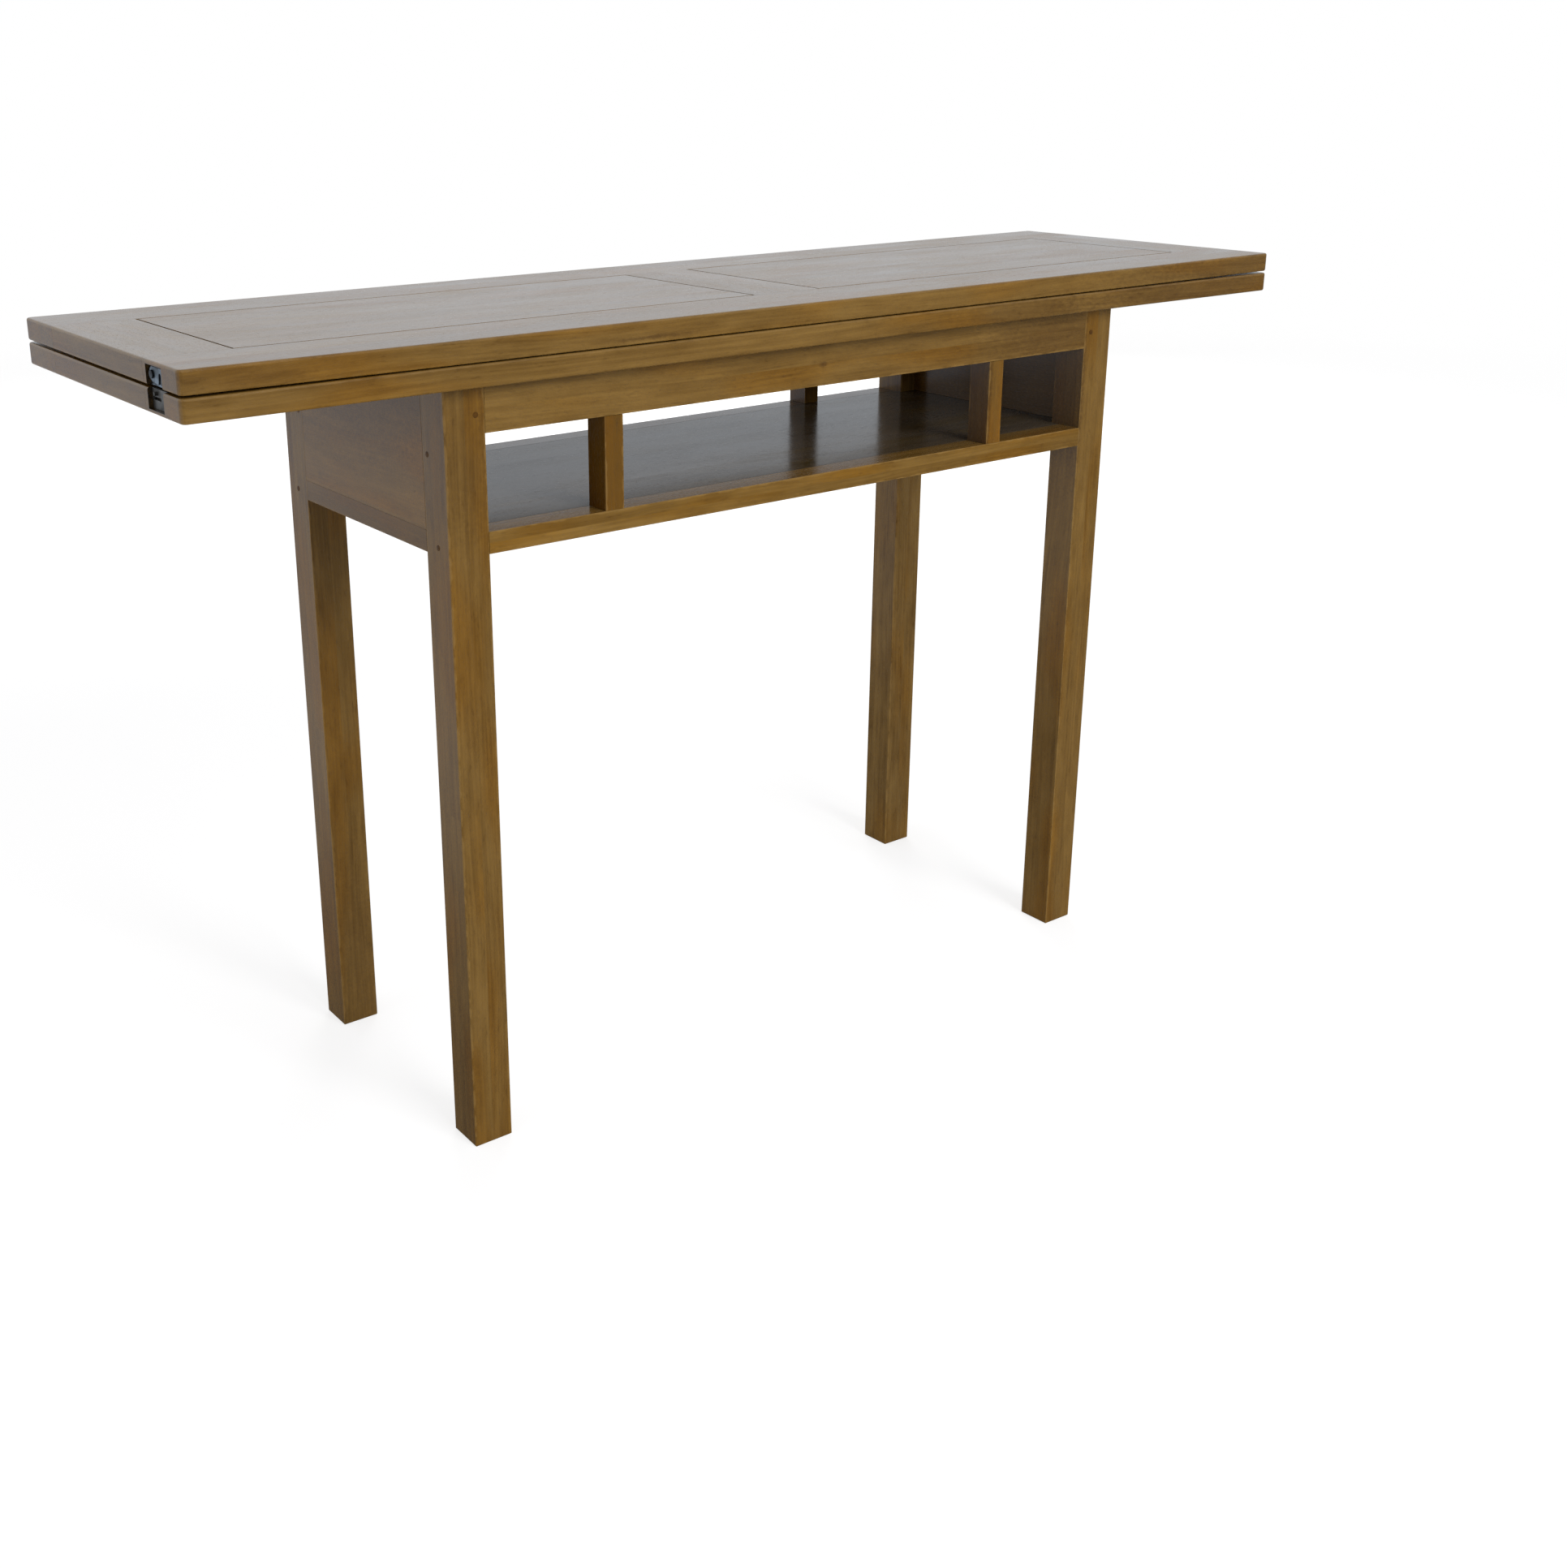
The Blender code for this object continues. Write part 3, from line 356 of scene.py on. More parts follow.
# Rails of the frame: deep ones under the top and shallow ones level with the shelf, front and back,
# and a shallow one at each end. Each is one length of hardwood, tenoned into the legs and stained with them.
RAIL_STAVE = 0.200
TOP_RAIL_KNOTS = (
    ((0.0035, -0.162, 0.7125), (0.0065, 0.004, 0.0045), 0.55),
    ((0.330, -0.162, 0.715), (0.140, 0.010, 0.040), 0.34),
)
TOP_RAIL_DARKENING = 0.35
SHELF_RAIL_DARKENING = 0.25
END_RAIL_PALE = (0.200, 0.110, 0.026, 1.0)
SHELF_RAIL_SHEEN = 0.25
SHELF_RAIL_BUMP = 0.04
SHELF_RAIL_TOP_SHADE = ((2.000, 0.500, 0.002), 0.65)
for seed, face in enumerate(("front", "back")):
    inner = "+Y" if face == "front" else "-Y"
    knots_and_shade = TOP_RAIL_KNOTS if face == "front" else ()
    board(f"top_rail_{face}", "X", "Z", 11 + seed, RAIL_STAVE, knots_and_shade=knots_and_shade, darkening=TOP_RAIL_DARKENING)
    # The back rail's top is painted darker, as shade, to match the shelf.
    low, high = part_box(f"shelf_rail_{face}")
    upper_face = ((low.x + high.x) / 2, (low.y + high.y) / 2, high.z)
    shaded_top = ((upper_face, *SHELF_RAIL_TOP_SHADE),) if face == "back" else ()
    board(
        f"shelf_rail_{face}", "X", "Z", 14 + seed, RAIL_STAVE, covered=[inner], knots_and_shade=shaded_top,
        bump=SHELF_RAIL_BUMP, sheen=SHELF_RAIL_SHEEN, darkening=SHELF_RAIL_DARKENING,
    )
for seed, side in enumerate(("left", "right")):
    inner = "+X" if side == "left" else "-X"
    board(f"end_rail_{side}", "Y", "Z", 17 + seed, RAIL_STAVE, END_RAIL_PALE, covered=[inner, "+Z"])

# End panels: a board closes each end of the frame above the end rail, flush with the legs.
# It is edge-glued from two staves with the grain level, and its edges sit in grooves in the legs.
# Under the top and on the inner face they are painted darker, as shade.
END_STAVE = 0.062
END_PANEL_PALE = (0.285, 0.160, 0.040, 1.0)
END_PANEL_DEEP = (0.160, 0.085, 0.018, 1.0)
END_SHADE_OUTSIDE = ((0.006, 0.400, 0.100), 0.46)
END_SHADE_INSIDE = ((0.006, 0.400, 0.200), 0.35)
for seed, side in enumerate(("left", "right")):
    low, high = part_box(f"end_panel_{side}")
    outer, inner = (low.x, high.x) if side == "left" else (high.x, low.x)
    shaded = (
        ((outer, 0.0, high.z), *END_SHADE_OUTSIDE),
        ((inner, 0.0, (low.z + high.z) / 2), *END_SHADE_INSIDE),
    )
    board(
        f"end_panel_{side}", "Y", "Z", 21 + seed, END_STAVE, END_PANEL_PALE, END_PANEL_DEEP,
        wear=0.0, knots_and_shade=shaded,
    )

# Posts: four short uprights between the rails divide the shelf into three open compartments.
# They are cut from the same stock, grain upright, and stub-tenoned into the rails above and below.
POST_STRIP = 0.100
POST_PALE = (0.222, 0.112, 0.017, 1.0)
POST_RED = (0.178, 0.078, 0.004, 1.0)
POST_SHADE = ((0.006, 0.100, 0.200), 0.48)
# The left faces of all but the front left post are painted darker, as shade inside the compartments.
for seed, name in enumerate(("post_front_left", "post_front_right", "post_back_left", "post_back_right")):
    low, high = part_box(name)
    shaded = (((low.x, (low.y + high.y) / 2, (low.z + high.z) / 2), *POST_SHADE),)
    pale, knots_and_shade = (POST_RED, ()) if name == "post_front_left" else (POST_PALE, shaded)
    board(name, "Z", "X", 31 + seed, POST_STRIP, pale, knots_and_shade=knots_and_shade)

# Shelf: one wide board, edge-glued from staves and tongued into the rails, level with their tops.
# It is smoother than the frame, because lacquer pools on it, and its colour is painted darker and greyer, as
# shade, because it sees no light.
SHELF_SHADED_PALE = (0.114, 0.086, 0.056, 1.0)
SHELF_SHADED_DEEP = (0.048, 0.036, 0.023, 1.0)
SHELF_ROUGHNESS = 0.17
SHELF_STAVE = 0.067
SHELF_SHEEN = 0.13
board(
    "shelf", "X", "Y", 41, SHELF_STAVE, SHELF_SHADED_PALE, SHELF_SHADED_DEEP, SHELF_ROUGHNESS,
    wear=0.0, bump=0.02, sheen=SHELF_SHEEN, pores=0.05,
)

# Pegs: round hardwood pegs lock the tenons of the rails, driven in from the outer faces of the legs.
# The sawn ends drink up the stain, so they are darker and duller, and they stand a hair proud of the leg.
PEG_RADIUS = 0.0026
PEG_RISE = 0.0003
PEG_SUNK = 0.0012
PEG_SIDES = 20
PEG_DOME = 0.72
PEG_PALE = (0.118, 0.052, 0.008, 1.0)
PEG_DEEP = (0.060, 0.026, 0.004, 1.0)
PEG_ROUGHNESS = 0.42
PEG_BUMP = 0.35
PEG_SHEEN = 0.2
SMOOTH_ANGLE = math.radians(30)
TOP_PEG_X = 0.384
TOP_PEG_Z = 0.709
SIDE_PEGS = ((0.1300, 0.6735), (0.1425, 0.5930))
leg_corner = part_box("leg_back_right")[1]


def geometry_tree(name, sizes):
    """A Geometry Nodes tree with named inputs for sizes, and the identifiers of those inputs."""
    tree = bpy.data.node_groups.new(name, "GeometryNodeTree")
    tree.interface.new_socket(name="Geometry", in_out="INPUT", socket_type="NodeSocketGeometry")
    tree.interface.new_socket(name="Geometry", in_out="OUTPUT", socket_type="NodeSocketGeometry")
    keys = {}
    for title in sizes:
        socket = tree.interface.new_socket(name=title, in_out="INPUT", socket_type="NodeSocketFloat")
        keys[title] = socket.identifier
    return tree, keys


def set_on_points(tree, given, piece, turn, material):
    """Ends a tree: one copy of the piece on each point, made real, with its material."""
    placed = {"Points": given["Geometry"], "Instance": piece, "Rotation": turn}
    copies = node(tree, "GeometryNodeInstanceOnPoints", placed)
    real = node(tree, "GeometryNodeRealizeInstances", {"Geometry": copies.outputs[0]})
    dressed = node(tree, "GeometryNodeSetMaterial", {"Geometry": real.outputs[0], "Material": material})
    ends = tree.nodes.new("NodeGroupOutput")
    tree.links.new(dressed.outputs[0], ends.inputs[0])


def facing_turn(tree):
    """Turns a copy so that its Z axis follows the direction kept on its point."""
    facing = node(tree, "GeometryNodeInputNamedAttribute", {"Name": "facing"}, data_type="FLOAT_VECTOR")
    turn = node(tree, "FunctionNodeAlignRotationToVector", {"Vector": facing.outputs[0]}, axis="Z")
    return turn.outputs[0]


def grow(name, places, tree, keys, sizes, body):
    """Runs a tree on points with a direction each, keeps the result as a mesh and fixes it to a body."""
    mesh = bpy.data.meshes.new(f"{name}_points")
    mesh.from_pydata([place for place, _ in places], [], [])
    facing = mesh.attributes.new("facing", "FLOAT_VECTOR", "POINT")
    facing.data.foreach_set("vector", [value for _, way in places for value in way])
    piece = bpy.data.objects.new(name, mesh)
    bpy.context.scene.collection.objects.link(piece)
    modifier = piece.modifiers.new(tree.name, "NODES")
    modifier.node_group = tree
    for title, value in sizes.items():
        modifier[keys[title]] = value
    made = bpy.data.meshes.new_from_object(piece.evaluated_get(bpy.context.evaluated_depsgraph_get()))
    piece.modifiers.clear()
    piece.data = made
    made.name = name
    made.shade_smooth()
    made.set_sharp_from_angle(angle=SMOOTH_ANGLE)
    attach(piece, body)


def make_peg_material():
    material, tree, shader, place = new_material("peg_end_grain")
    figure = place_group(tree, BOARD_FIGURE, {
        "Vector": place, "Pale": PEG_PALE, "Deep": PEG_DEEP, "Roughness": PEG_ROUGHNESS,
    })
    feed(tree, shader, figure["Color"], figure, PEG_BUMP, GRAIN_RELIEF)
    shader.inputs["IOR"].default_value = LACQUER_IOR
    shader.inputs["Specular IOR Level"].default_value = PEG_SHEEN
    return material


def make_peg_tree(material):
    tree, keys = geometry_tree("peg_ends", ("Radius", "Rise", "Sunk"))
    given = tree.nodes.new("NodeGroupInput").outputs
    length = calc(tree, "ADD", given["Rise"], given["Sunk"])
    shank = node(tree, "GeometryNodeMeshCylinder", {
        "Vertices": PEG_SIDES, "Radius": given["Radius"], "Depth": length,
    }).outputs
    half = calc(tree, "MULTIPLY", given["Rise"], 0.5)
    dome = node(tree, "GeometryNodeExtrudeMesh", {
        "Mesh": shank["Mesh"], "Selection": shank["Top"], "Offset Scale": half,
    }).outputs
    eased = node(tree, "GeometryNodeScaleElements", {
        "Geometry": dome["Mesh"], "Selection": dome["Top"], "Scale": PEG_DOME,
    }).outputs[0]
    lift = calc(tree, "MULTIPLY", calc(tree, "SUBTRACT", given["Rise"], given["Sunk"]), 0.5)
    lift = calc(tree, "SUBTRACT", lift, half)
    up = node(tree, "ShaderNodeCombineXYZ", {"Z": lift}).outputs[0]
    seated = node(tree, "GeometryNodeTransform", {"Geometry": eased, "Translation": up}).outputs[0]
    set_on_points(tree, given, seated, facing_turn(tree), material)
    return tree, keys


peg_places = []
for x_sign in (-1, 1):
    for y_sign in (-1, 1):
        peg_places.append(((x_sign * TOP_PEG_X, y_sign * leg_corner.y, TOP_PEG_Z), (0, y_sign, 0)))
        for peg_y, peg_z in SIDE_PEGS:
            peg_places.append(((x_sign * leg_corner.x, y_sign * peg_y, peg_z), (x_sign, 0, 0)))
peg_tree, peg_keys = make_peg_tree(make_peg_material())
peg_sizes = {"Radius": PEG_RADIUS, "Rise": PEG_RISE, "Sunk": PEG_SUNK}
grow("leg_pegs", peg_places, peg_tree, peg_keys, peg_sizes, "base")

# Slide: a slotted bar of bare hardwood crosses the frame on each side, let into the rails under the top.
# A shoe screwed under the lower leaf runs in its slot, and the waxed runs are paler than the stained frame.
BARE_PALE = (0.460, 0.310, 0.170, 1.0)
BARE_DEEP = (0.260, 0.160, 0.080, 1.0)
BARE_FINISH = {"pale": BARE_PALE, "deep": BARE_DEEP, "roughness": 0.55, "wear": 0.0, "bump": 0.35}
GUIDE_STAVE = 0.200
for seed, side in enumerate(("left", "right")):
    board(f"slide_guide_{side}", "Y", "X", 51 + seed, GUIDE_STAVE, **BARE_FINISH)
    board(f"slide_shoe_{side}", "Y", "X", 54 + seed, GUIDE_STAVE, **BARE_FINISH)

# Leaves: each is a hardwood frame of two full-length rails and three stiles tenoned into them.
# The two lie face to face, 2 mm apart. The edges are rounded, and the grain of each piece runs along it.
# With age the front rails have cupped towards each other, so the gap narrows in front, away from the ends.
LEAF_STAVE = 0.200
CUP_DEPTH = 0.00055
CUP_ENDS = (0.640, 0.400)
CUP_STEPS = 40
WELD = 1e-6
MORTISE_MARGIN = Vector((0.0060, 0.0005, 0.0005))
LEAF_STREAKS = {
    "upper": (
        ((-0.215, -0.185, 0.7618), (0.060, 0.006, 0.0026), 0.50),
        ((-0.600, -0.185, 0.767), (0.120, 0.004, 0.018), 0.18),
        ((0.600, -0.185, 0.767), (0.260, 0.004, 0.018), 0.40),
    ),
    "lower": (
        ((0.540, -0.185, 0.745), (0.280, 0.004, 0.018), 0.40),
        ((0.250, -0.185, 0.745), (0.150, 0.004, 0.018), 0.25),
    ),
}
LEAF_FINISH = {"wear": 0.20, "bump": 0.025, "pores": 0.10}


def soft_step(value, start, end):
    share = min(max((value - start) / (end - start), 0.0), 1.0)
    return share * share * (3.0 - 2.0 * share)


def cup_front_rail(leaf, way, material):
    """Puts a copy in place of a leaf's front rail, its front edge bent up or down except at the ends."""
    name = f"{leaf}_leaf_front_rail"
    low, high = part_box(name)
    shape = bmesh.new()
    shape.from_mesh(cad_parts[name].data)
    bmesh.ops.remove_doubles(shape, verts=shape.verts, dist=WELD)
    for step in range(1, CUP_STEPS):
        place = (low.x + (high.x - low.x) * step / CUP_STEPS, 0.0, 0.0)
        everything = [*shape.verts, *shape.edges, *shape.faces]
        bmesh.ops.bisect_plane(shape, geom=everything, dist=WELD, plane_co=place, plane_no=AXES["X"])
    for vert in shape.verts:
        outward = (high.y - vert.co.y) / (high.y - low.y)
        vert.co.z += way * CUP_DEPTH * outward * soft_step(abs(vert.co.x), *CUP_ENDS)
    mesh = bpy.data.meshes.new(f"{leaf}_leaf_cupped_rail")
    shape.to_mesh(mesh)
    shape.free()
    mesh.materials.append(material)
    old_normals = mesh.attributes.get("custom_normal")
    if old_normals:
        mesh.attributes.remove(old_normals)
    mesh.shade_flat()
    rail = bpy.data.objects.new(mesh.name, mesh)
    bpy.context.scene.collection.objects.link(rail)
    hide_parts(name)
    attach(rail, f"{leaf}_leaf")


for offset, leaf, way, catch in ((60, "lower", 1, "keeper"), (80, "upper", -1, "plate")):
    for seed, (face, inner) in enumerate((("front", "+Y"), ("back", "-Y"))):
        streaks = LEAF_STREAKS[leaf] if face == "front" else ()
        # The catch mortises in the front rails get painted shade inside.
        mortises = []
        if face == "front":
            for side in ("left", "right"):
                low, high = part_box(f"catch_{side}_{catch}")
                mortises.append(((low + high) / 2, (high - low) / 2 + MORTISE_MARGIN))
        material = board(
            f"{leaf}_leaf_{face}_rail", "X", "Y", offset + seed, LEAF_STAVE,
            covered=[inner], knots_and_shade=streaks, shaded_pockets=mortises, **LEAF_FINISH,
        )
        if face == "front":
            cup_front_rail(leaf, way, material)
    for seed, place in enumerate(("left", "centre", "right")):
        board(f"{leaf}_leaf_{place}_stile", "Y", "X", offset + 4 + seed, LEAF_STAVE, **LEAF_FINISH)

# Leaf panels: two boards in each leaf, edge-glued from staves and tongued into the frame,
# with a narrow shadow groove left open all round so that they can swell and shrink.
PANEL_STAVE = 0.060
for offset, leaf in ((70, "lower"), (90, "upper")):
    for seed, side in enumerate(("left", "right")):
        board(f"{leaf}_leaf_{side}_panel", "X", "Y", offset + seed, PANEL_STAVE, **LEAF_FINISH)

# Link hinges: three along the back edge join the leaves, each with two let-in plates, two pins and a link.
# The brass is browned to suit the wood and rubbed brighter where it turns.
HINGE_BROWN = (0.230, 0.152, 0.066, 1.0)
HINGE_BRIGHT = (0.480, 0.350, 0.160, 1.0)
HINGE_DARK = (0.125, 0.080, 0.038, 1.0)
HINGE_ROUGHNESS = 0.40
HINGE_PLACES = ("left", "centre", "right")
HINGE_PIECES = ("lower_plate", "lower_pin", "upper_plate", "upper_pin", "link")
BRUSH_BUMP = 0.08
BRUSH_RELIEF = 0.0001


def make_handled_metal():
    """Brushed metal with a patina: clouds of tarnish, fine brush lines and a few brighter rubbed spots."""
    tree, given, shown = effect(
        "handled_metal",
        [
            ("Vector", "NodeSocketVector", (0.0, 0.0, 0.0)),
            ("Metal", "NodeSocketColor", HINGE_BROWN),
            ("Tarnish", "NodeSocketColor", HINGE_DARK),
            ("Rubbed", "NodeSocketColor", HINGE_BRIGHT),
            ("Roughness", "NodeSocketFloat", HINGE_ROUGHNESS),
        ],
        [("Color", "NodeSocketColor"), ("Roughness", "NodeSocketFloat"), ("Height", "NodeSocketFloat")],
    )
    clouds = fade(tree, grain_noise(tree, given["Vector"], (90.0, 90.0), 2.0), 0.36, 0.72)
    brush = grain_noise(tree, given["Vector"], (90.0, 5200.0), 2.0)
    spots = fade(tree, grain_noise(tree, given["Vector"], (260.0, 260.0), 2.0), 0.60, 0.74)
    colour = mix_colour(tree, clouds, given["Metal"], given["Tarnish"])
    colour = mix_colour(tree, calc(tree, "MULTIPLY", spots, 0.25), colour, given["Rubbed"])
    lined = calc(tree, "MULTIPLY_ADD", calc(tree, "SUBTRACT", brush, 0.5), 0.5, 1.0)
    shade = node(tree, "ShaderNodeCombineColor", {0: lined, 1: lined, 2: lined}).outputs[0]
    tree.links.new(mix_colour(tree, 1.0, colour, shade, "MULTIPLY"), shown["Color"])
    dull = calc(tree, "MULTIPLY_ADD", clouds, 0.14, given["Roughness"])
    tree.links.new(calc(tree, "MULTIPLY_ADD", spots, -0.10, dull), shown["Roughness"])
    tree.links.new(brush, shown["Height"])
    return tree


HANDLED_METAL = make_handled_metal()


def metal_finish(name, metal, tarnish, rubbed, roughness):
    material, tree, shader, place = new_material(name)
    finish = place_group(tree, HANDLED_METAL, {
        "Vector": place, "Metal": metal, "Tarnish": tarnish, "Rubbed": rubbed, "Roughness": roughness,
    })
    feed(tree, shader, finish["Color"], finish, BRUSH_BUMP, BRUSH_RELIEF)
    shader.inputs["Metallic"].default_value = 1.0
    return material


hinge_material = metal_finish("browned_brass", HINGE_BROWN, HINGE_DARK, HINGE_BRIGHT, HINGE_ROUGHNESS)
for place in HINGE_PLACES:
    for piece in HINGE_PIECES:
        dress(f"hinge_{place}_{piece}", hinge_material)

# Screws: three small countersunk screws of the same brass hold each hinge plate, driven flush.
# Two larger steel ones with raised heads hold each shoe from below to the lower leaf. All are cross-slotted.
HINGE_SCREWS = ((-0.015, 0.0155), (0.0, 0.0195), (0.015, 0.0155))
HINGE_SCREW_SIZES = {
    "Face Radius": 0.0029, "Seat Radius": 0.0017, "Head": 0.0016,
    "Slot Length": 0.0038, "Slot Width": 0.0008, "Slot Depth": 0.0008,
}
SHOE_SCREW_SIZES = {
    "Face Radius": 0.0027, "Seat Radius": 0.0036, "Head": 0.0018,
    "Slot Length": 0.0040, "Slot Width": 0.0009, "Slot Depth": 0.0009,
}
SHOE_SCREW_SPREAD = 0.016
SCREW_SIDES = 18
SCREW_SEED = 7
FLUSH_DROP = 0.00005
SCREW_STEEL = (0.330, 0.330, 0.320, 1.0)
SCREW_TARNISH = (0.120, 0.115, 0.105, 1.0)
SCREW_BRIGHT = (0.560, 0.550, 0.530, 1.0)
SCREW_ROUGHNESS = 0.38


def make_screw_tree(name, material):
    """A tapered head with a cross cut in its face, which lies at the point and looks along its direction."""
    tree, keys = geometry_tree(name, tuple(HINGE_SCREW_SIZES))
    given = tree.nodes.new("NodeGroupInput").outputs
    head = node(tree, "GeometryNodeMeshCone", {
        "Vertices": SCREW_SIDES, "Depth": given["Head"],
        "Radius Top": given["Face Radius"], "Radius Bottom": given["Seat Radius"],
    }).outputs["Mesh"]
    down = node(tree, "ShaderNodeCombineXYZ", {"Z": calc(tree, "MULTIPLY", given["Head"], -1.0)}).outputs[0]
    head = node(tree, "GeometryNodeTransform", {"Geometry": head, "Translation": down}).outputs[0]
    cut = node(tree, "GeometryNodeMeshBoolean", {"Mesh 1": head}, operation="DIFFERENCE", solver="EXACT")
    twice = calc(tree, "MULTIPLY", given["Slot Depth"], 2.0)
    for length, width in (("Slot Length", "Slot Width"), ("Slot Width", "Slot Length")):
        size = node(tree, "ShaderNodeCombineXYZ", {"X": given[length], "Y": given[width], "Z": twice})
        bar = node(tree, "GeometryNodeMeshCube", {"Size": size.outputs[0]}).outputs["Mesh"]
        tree.links.new(bar, cut.inputs["Mesh 2"])
    any_angle = {2: 0.0, 3: math.tau, "Seed": SCREW_SEED}
    angle = node(tree, "FunctionNodeRandomValue", any_angle, data_type="FLOAT").outputs[1]
    angles = node(tree, "ShaderNodeCombineXYZ", {"Z": angle}).outputs[0]
    spin = node(tree, "FunctionNodeEulerToRotation", {0: angles}).outputs[0]
    turns = {"Rotation": facing_turn(tree), "Rotate By": spin}
    turn = node(tree, "FunctionNodeRotateRotation", turns, rotation_space="LOCAL").outputs[0]
    set_on_points(tree, given, cut.outputs["Mesh"], turn, material)
    return tree, keys


screw_tree, screw_keys = make_screw_tree("hinge_screws", hinge_material)
for leaf, up in (("lower", 1), ("upper", -1)):
    back_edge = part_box(f"{leaf}_leaf_back_rail")[1].y
    places = []
    for place in HINGE_PLACES:
        low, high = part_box(f"hinge_{place}_{leaf}_plate")
        face = high.z - FLUSH_DROP if up > 0 else low.z + FLUSH_DROP
        for along, setback in HINGE_SCREWS:
            places.append((((low.x + high.x) / 2 + along, back_edge - setback, face), (0, 0, up)))
    grow(
        f"{leaf}_hinge_screws", places, screw_tree, screw_keys, HINGE_SCREW_SIZES,
        f"{leaf}_leaf",
    )

screw_steel = metal_finish("shoe_screw_steel", SCREW_STEEL, SCREW_TARNISH, SCREW_BRIGHT, SCREW_ROUGHNESS)
shoe_tree, shoe_keys = make_screw_tree("shoe_screws", screw_steel)
shoe_places = []
for side in ("left", "right"):
    low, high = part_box(f"slide_shoe_{side}")
    middle = (low + high) / 2
    for way in (-1, 1):
        spot = (middle.x, middle.y + way * SHOE_SCREW_SPREAD, low.z - SHOE_SCREW_SIZES["Head"])
        shoe_places.append((spot, (0, 0, -1)))
grow("shoe_screws", shoe_places, shoe_tree, shoe_keys, SHOE_SCREW_SIZES, "lower_leaf")

# Hook catches: a steel hook on a rivet in each end of the upper leaf drops over a stud in the lower leaf.
# The stampings lie in open mortises. Hook and plate are blued and scuffed by use, the keeper is duller.
STEEL_BLUE = (0.260, 0.310, 0.350, 1.0)
STEEL_DARK = (0.090, 0.102, 0.114, 1.0)
STEEL_BRIGHT = (0.420, 0.460, 0.500, 1.0)
KEEPER_GREY = (0.240, 0.236, 0.226, 1.0)
KEEPER_DARK = (0.125, 0.120, 0.112, 1.0)
KEEPER_BRIGHT = (0.260, 0.258, 0.248, 1.0)
RIVET_BLACK = (0.020, 0.020, 0.022, 1.0)
STEEL_ROUGHNESS = 0.36
KEEPER_ROUGHNESS = 0.50
RIVET_ROUGHNESS = 0.45
steel_material = metal_finish("blued_steel", STEEL_BLUE, STEEL_DARK, STEEL_BRIGHT, STEEL_ROUGHNESS)
keeper_material = metal_finish("dulled_steel", KEEPER_GREY, KEEPER_DARK, KEEPER_BRIGHT, KEEPER_ROUGHNESS)
rivet_material = metal_finish("blackened_rivet", STEEL_DARK, RIVET_BLACK, STEEL_BLUE, RIVET_ROUGHNESS)
for side in ("left", "right"):
    for piece in ("plate", "hook"):
        dress(f"catch_{side}_{piece}", steel_material)
    dress(f"catch_{side}_keeper", keeper_material)
    dress(f"catch_{side}_rivet", rivet_material)

# Floor: a plain pale studio floor under the legs, matt. In the lacquer's reflections it shows a painted glow
# instead, dim near the table and paler and bluer farther back to the left.
# To the camera it fades into the white backdrop and keeps the soft shadow.
FLOOR_RADIUS = 6.0
FLOOR_SIDES = 96
FLOOR_RIM = (2.7, 5.7)
FLOOR_GREY = (0.80, 0.80, 0.80, 1.0)
FLOOR_GLOW_SHARE = 0.5
FLOOR_GLOW = 1.46
FLOOR_MIRROR_GLOW_REACH = (0.4, 1.9)
FLOOR_COOL_REACH = (3.45, 3.95)
FLOOR_NEAR_MIRROR_GLOW = (0.11, 0.11, 0.11, 1.0)
FLOOR_MID_MIRROR_GLOW = (0.51, 0.51, 0.52, 1.0)
FLOOR_FAR_MIRROR_GLOW = (0.51, 0.57, 0.66, 1.0)


def make_floor():
    shape = bmesh.new()
    bmesh.ops.create_circle(shape, cap_ends=True, segments=FLOOR_SIDES, radius=FLOOR_RADIUS)
    mesh = bpy.data.meshes.new("studio_floor")
    shape.to_mesh(mesh)
    shape.free()
    floor = bpy.data.objects.new("studio_floor", mesh)
    bpy.context.scene.collection.objects.link(floor)
    material, tree, shader, place = new_material("studio_floor")
    tree.nodes.remove(shader)
    light_path = node(tree, "ShaderNodeLightPath").outputs
    matt = node(tree, "ShaderNodeBsdfDiffuse", {"Color": FLOOR_GREY}).outputs[0]
    glow = node(tree, "ShaderNodeEmission", {"Strength": FLOOR_GLOW}).outputs[0]
    seen = calc(tree, "MULTIPLY", light_path["Is Camera Ray"], FLOOR_GLOW_SHARE)
    lit = node(tree, "ShaderNodeMixShader", {0: seen, 1: matt, 2: glow}).outputs[0]
    along = split(tree, place)
    far = calc(tree, "SUBTRACT", along["Y"], along["X"])
    # The painted glow that the lacquer reflects grows paler and then bluer farther back and to the left.
    sheen = mix_colour(tree, fade(tree, far, *FLOOR_MIRROR_GLOW_REACH), FLOOR_NEAR_MIRROR_GLOW, FLOOR_MID_MIRROR_GLOW)
    sheen = mix_colour(tree, fade(tree, far, *FLOOR_COOL_REACH), sheen, FLOOR_FAR_MIRROR_GLOW)
    mirrored = node(tree, "ShaderNodeEmission", {"Color": sheen, "Strength": 1.0}).outputs[0]
    glossy = light_path["Is Glossy Ray"]
    lit = node(tree, "ShaderNodeMixShader", {0: glossy, 1: lit, 2: mirrored}).outputs[0]
    rim = fade(tree, vector_calc(tree, "LENGTH", place), *FLOOR_RIM)
    clear = node(tree, "ShaderNodeBsdfTransparent").outputs[0]
    faded = node(tree, "ShaderNodeMixShader", {0: rim, 1: lit, 2: clear}).outputs[0]
    tree.links.new(faded, tree.nodes["Material Output"].inputs["Surface"])
    mesh.materials.append(material)


make_floor()

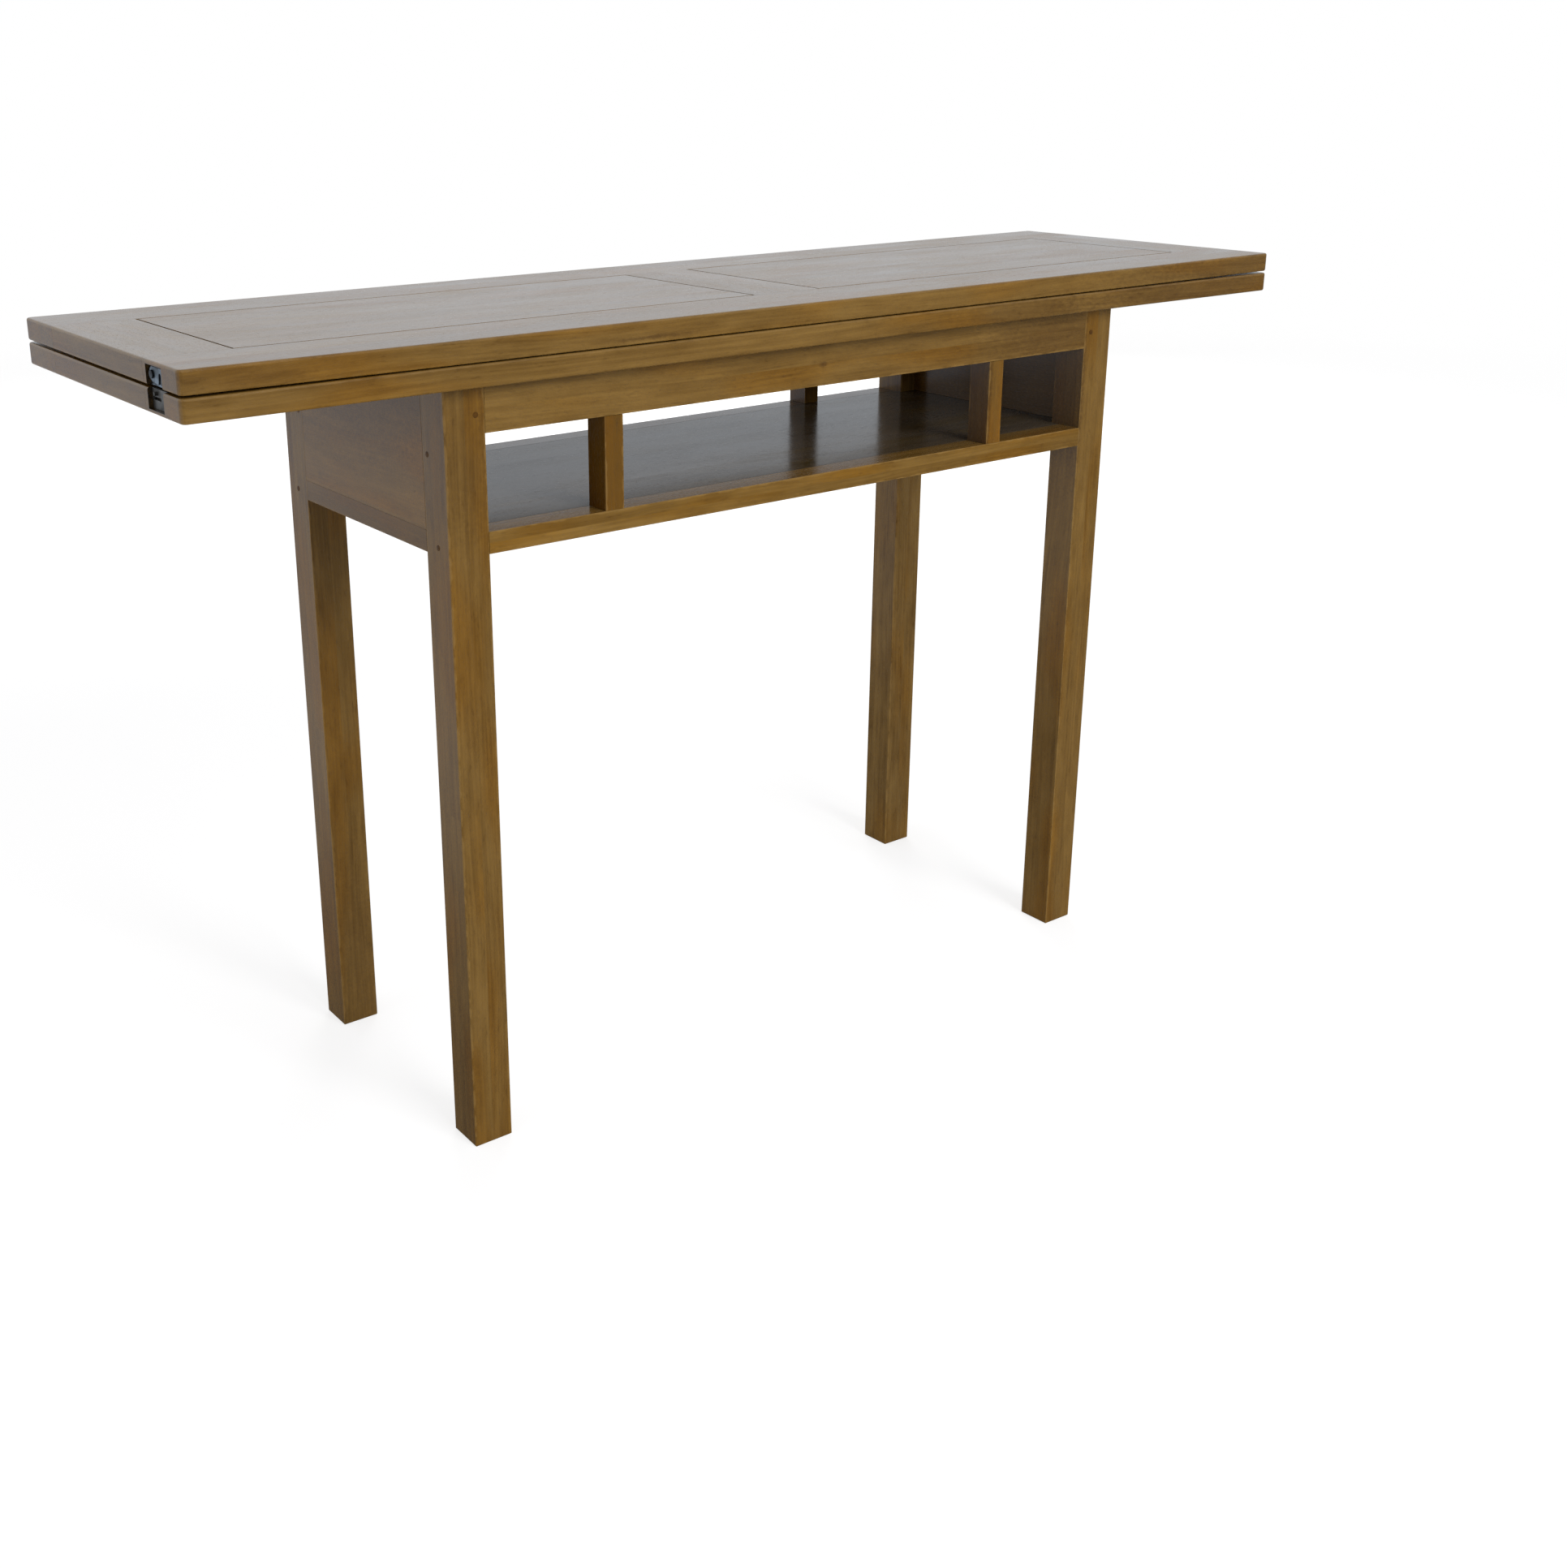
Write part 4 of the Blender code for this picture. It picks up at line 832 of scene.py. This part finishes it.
# Light: an even pale room with a large soft window in front and a second one low behind the right-hand end.
# The room is bright behind the table and dimmer behind the camera, as its reflections in the lacquer show.
# Each pair of limits below is for one part of the direction of view, from -1 to 1.
ROOM_LIGHT = (0.47, 0.47, 0.48, 1.0)
ROOM_LOW_LIGHT = (0.34, 0.34, 0.345, 1.0)
ROOM_LEFT_LIGHT = (0.98, 0.97, 0.96, 1.0)
ROOM_SIDE = (0.74, 0.785, 0.835, 1.0)
ROOM_BACK = (0.78, 0.82, 0.87, 1.0)
ROOM_FRONT = (0.42, 0.42, 0.42, 1.0)
ROOM_FRONT_LOW = (0.13, 0.13, 0.13, 1.0)
BACK_TO_SIDE_X = (0.45, 0.80)
LEFT_END_X = (-0.96, -0.74)
FRONT_TO_BACK_Y = (-0.55, 0.30)
HORIZON_Z = (-0.10, 0.02)
FRONT_RISE_Z = (0.05, 0.25)
LIGHT_RISE_Z = (0.05, 0.70)
WINDOWS = {
    "front_window": (Vector((0.3, -4.2, 2.6)), 131.0),
    "back_window": (Vector((2.4, 3.6, 0.9)), 100.0),
}
WINDOW_AIM = Vector((0.0, 0.0, 0.5))
WINDOW_SIZE = 2.4


def make_room():
    world = bpy.data.worlds.new("studio_room")
    world.use_nodes = True
    tree = world.node_tree
    tree.nodes.clear()
    way = split(tree, node(tree, "ShaderNodeTexCoord").outputs["Generated"])
    behind = mix_colour(tree, fade(tree, way["X"], *BACK_TO_SIDE_X), ROOM_BACK, ROOM_SIDE)
    # Below the horizon, reflections show the floor's far painted glow.
    behind = mix_colour(tree, fade(tree, way["Z"], *HORIZON_Z), FLOOR_FAR_MIRROR_GLOW, behind)
    ahead = mix_colour(tree, fade(tree, way["Z"], *FRONT_RISE_Z), ROOM_FRONT_LOW, ROOM_FRONT)
    room = mix_colour(tree, fade(tree, way["Y"], *FRONT_TO_BACK_Y), ahead, behind)
    mirrored = node(tree, "ShaderNodeBackground", {"Color": room, "Strength": 1.0}).outputs[0]
    around = mix_colour(tree, fade(tree, way["Z"], *LIGHT_RISE_Z), ROOM_LOW_LIGHT, ROOM_LIGHT)
    around = mix_colour(tree, fade(tree, way["X"], *LEFT_END_X), ROOM_LEFT_LIGHT, around)
    ambient = node(tree, "ShaderNodeBackground", {"Color": around, "Strength": 1.0}).outputs[0]
    white = node(tree, "ShaderNodeBackground", {"Color": (1.0, 1.0, 1.0, 1.0), "Strength": 1.0}).outputs[0]
    light_path = node(tree, "ShaderNodeLightPath").outputs
    glossy = light_path["Is Glossy Ray"]
    reflected = node(tree, "ShaderNodeMixShader", {0: glossy, 1: ambient, 2: mirrored}).outputs[0]
    seen = calc(tree, "MAXIMUM", light_path["Is Camera Ray"], light_path["Is Transmission Ray"])
    shown = node(tree, "ShaderNodeMixShader", {0: seen, 1: reflected, 2: white}).outputs[0]
    ends = node(tree, "ShaderNodeOutputWorld")
    tree.links.new(shown, ends.inputs["Surface"])
    bpy.context.scene.world = world


def make_window(name, place, power):
    light = bpy.data.lights.new(name, "AREA")
    light.shape = "DISK"
    light.size = WINDOW_SIZE
    light.energy = power
    window = bpy.data.objects.new(name, light)
    window.location = place
    window.rotation_euler = (WINDOW_AIM - place).to_track_quat("-Z", "Y").to_euler()
    window.visible_glossy = False
    bpy.context.scene.collection.objects.link(window)


make_room()
for name, (place, power) in WINDOWS.items():
    make_window(name, place, power)

# Camera: a metre above the floor in front of the left end, looking down at the table. The picture is a cut
# from a larger one, so its optical centre lies up and to the left of the frame's middle.
CAMERA_PLACE = (-1.1305, -1.4732, 0.9952)
CAMERA_TURN = (71.7715, 0.5120, -35.3310)
CAMERA_LENS = 41.008
CAMERA_SENSOR = 36.0
CAMERA_SHIFT = (0.0863, -0.0877)
camera = bpy.data.objects.new("camera", bpy.data.cameras.new("camera"))
camera.location = CAMERA_PLACE
camera.rotation_euler = [math.radians(angle) for angle in CAMERA_TURN]
camera.data.lens = CAMERA_LENS
camera.data.sensor_width = CAMERA_SENSOR
camera.data.shift_x, camera.data.shift_y = CAMERA_SHIFT
bpy.context.scene.collection.objects.link(camera)
bpy.context.scene.camera = camera
bpy.context.scene.view_settings.view_transform = "Standard"
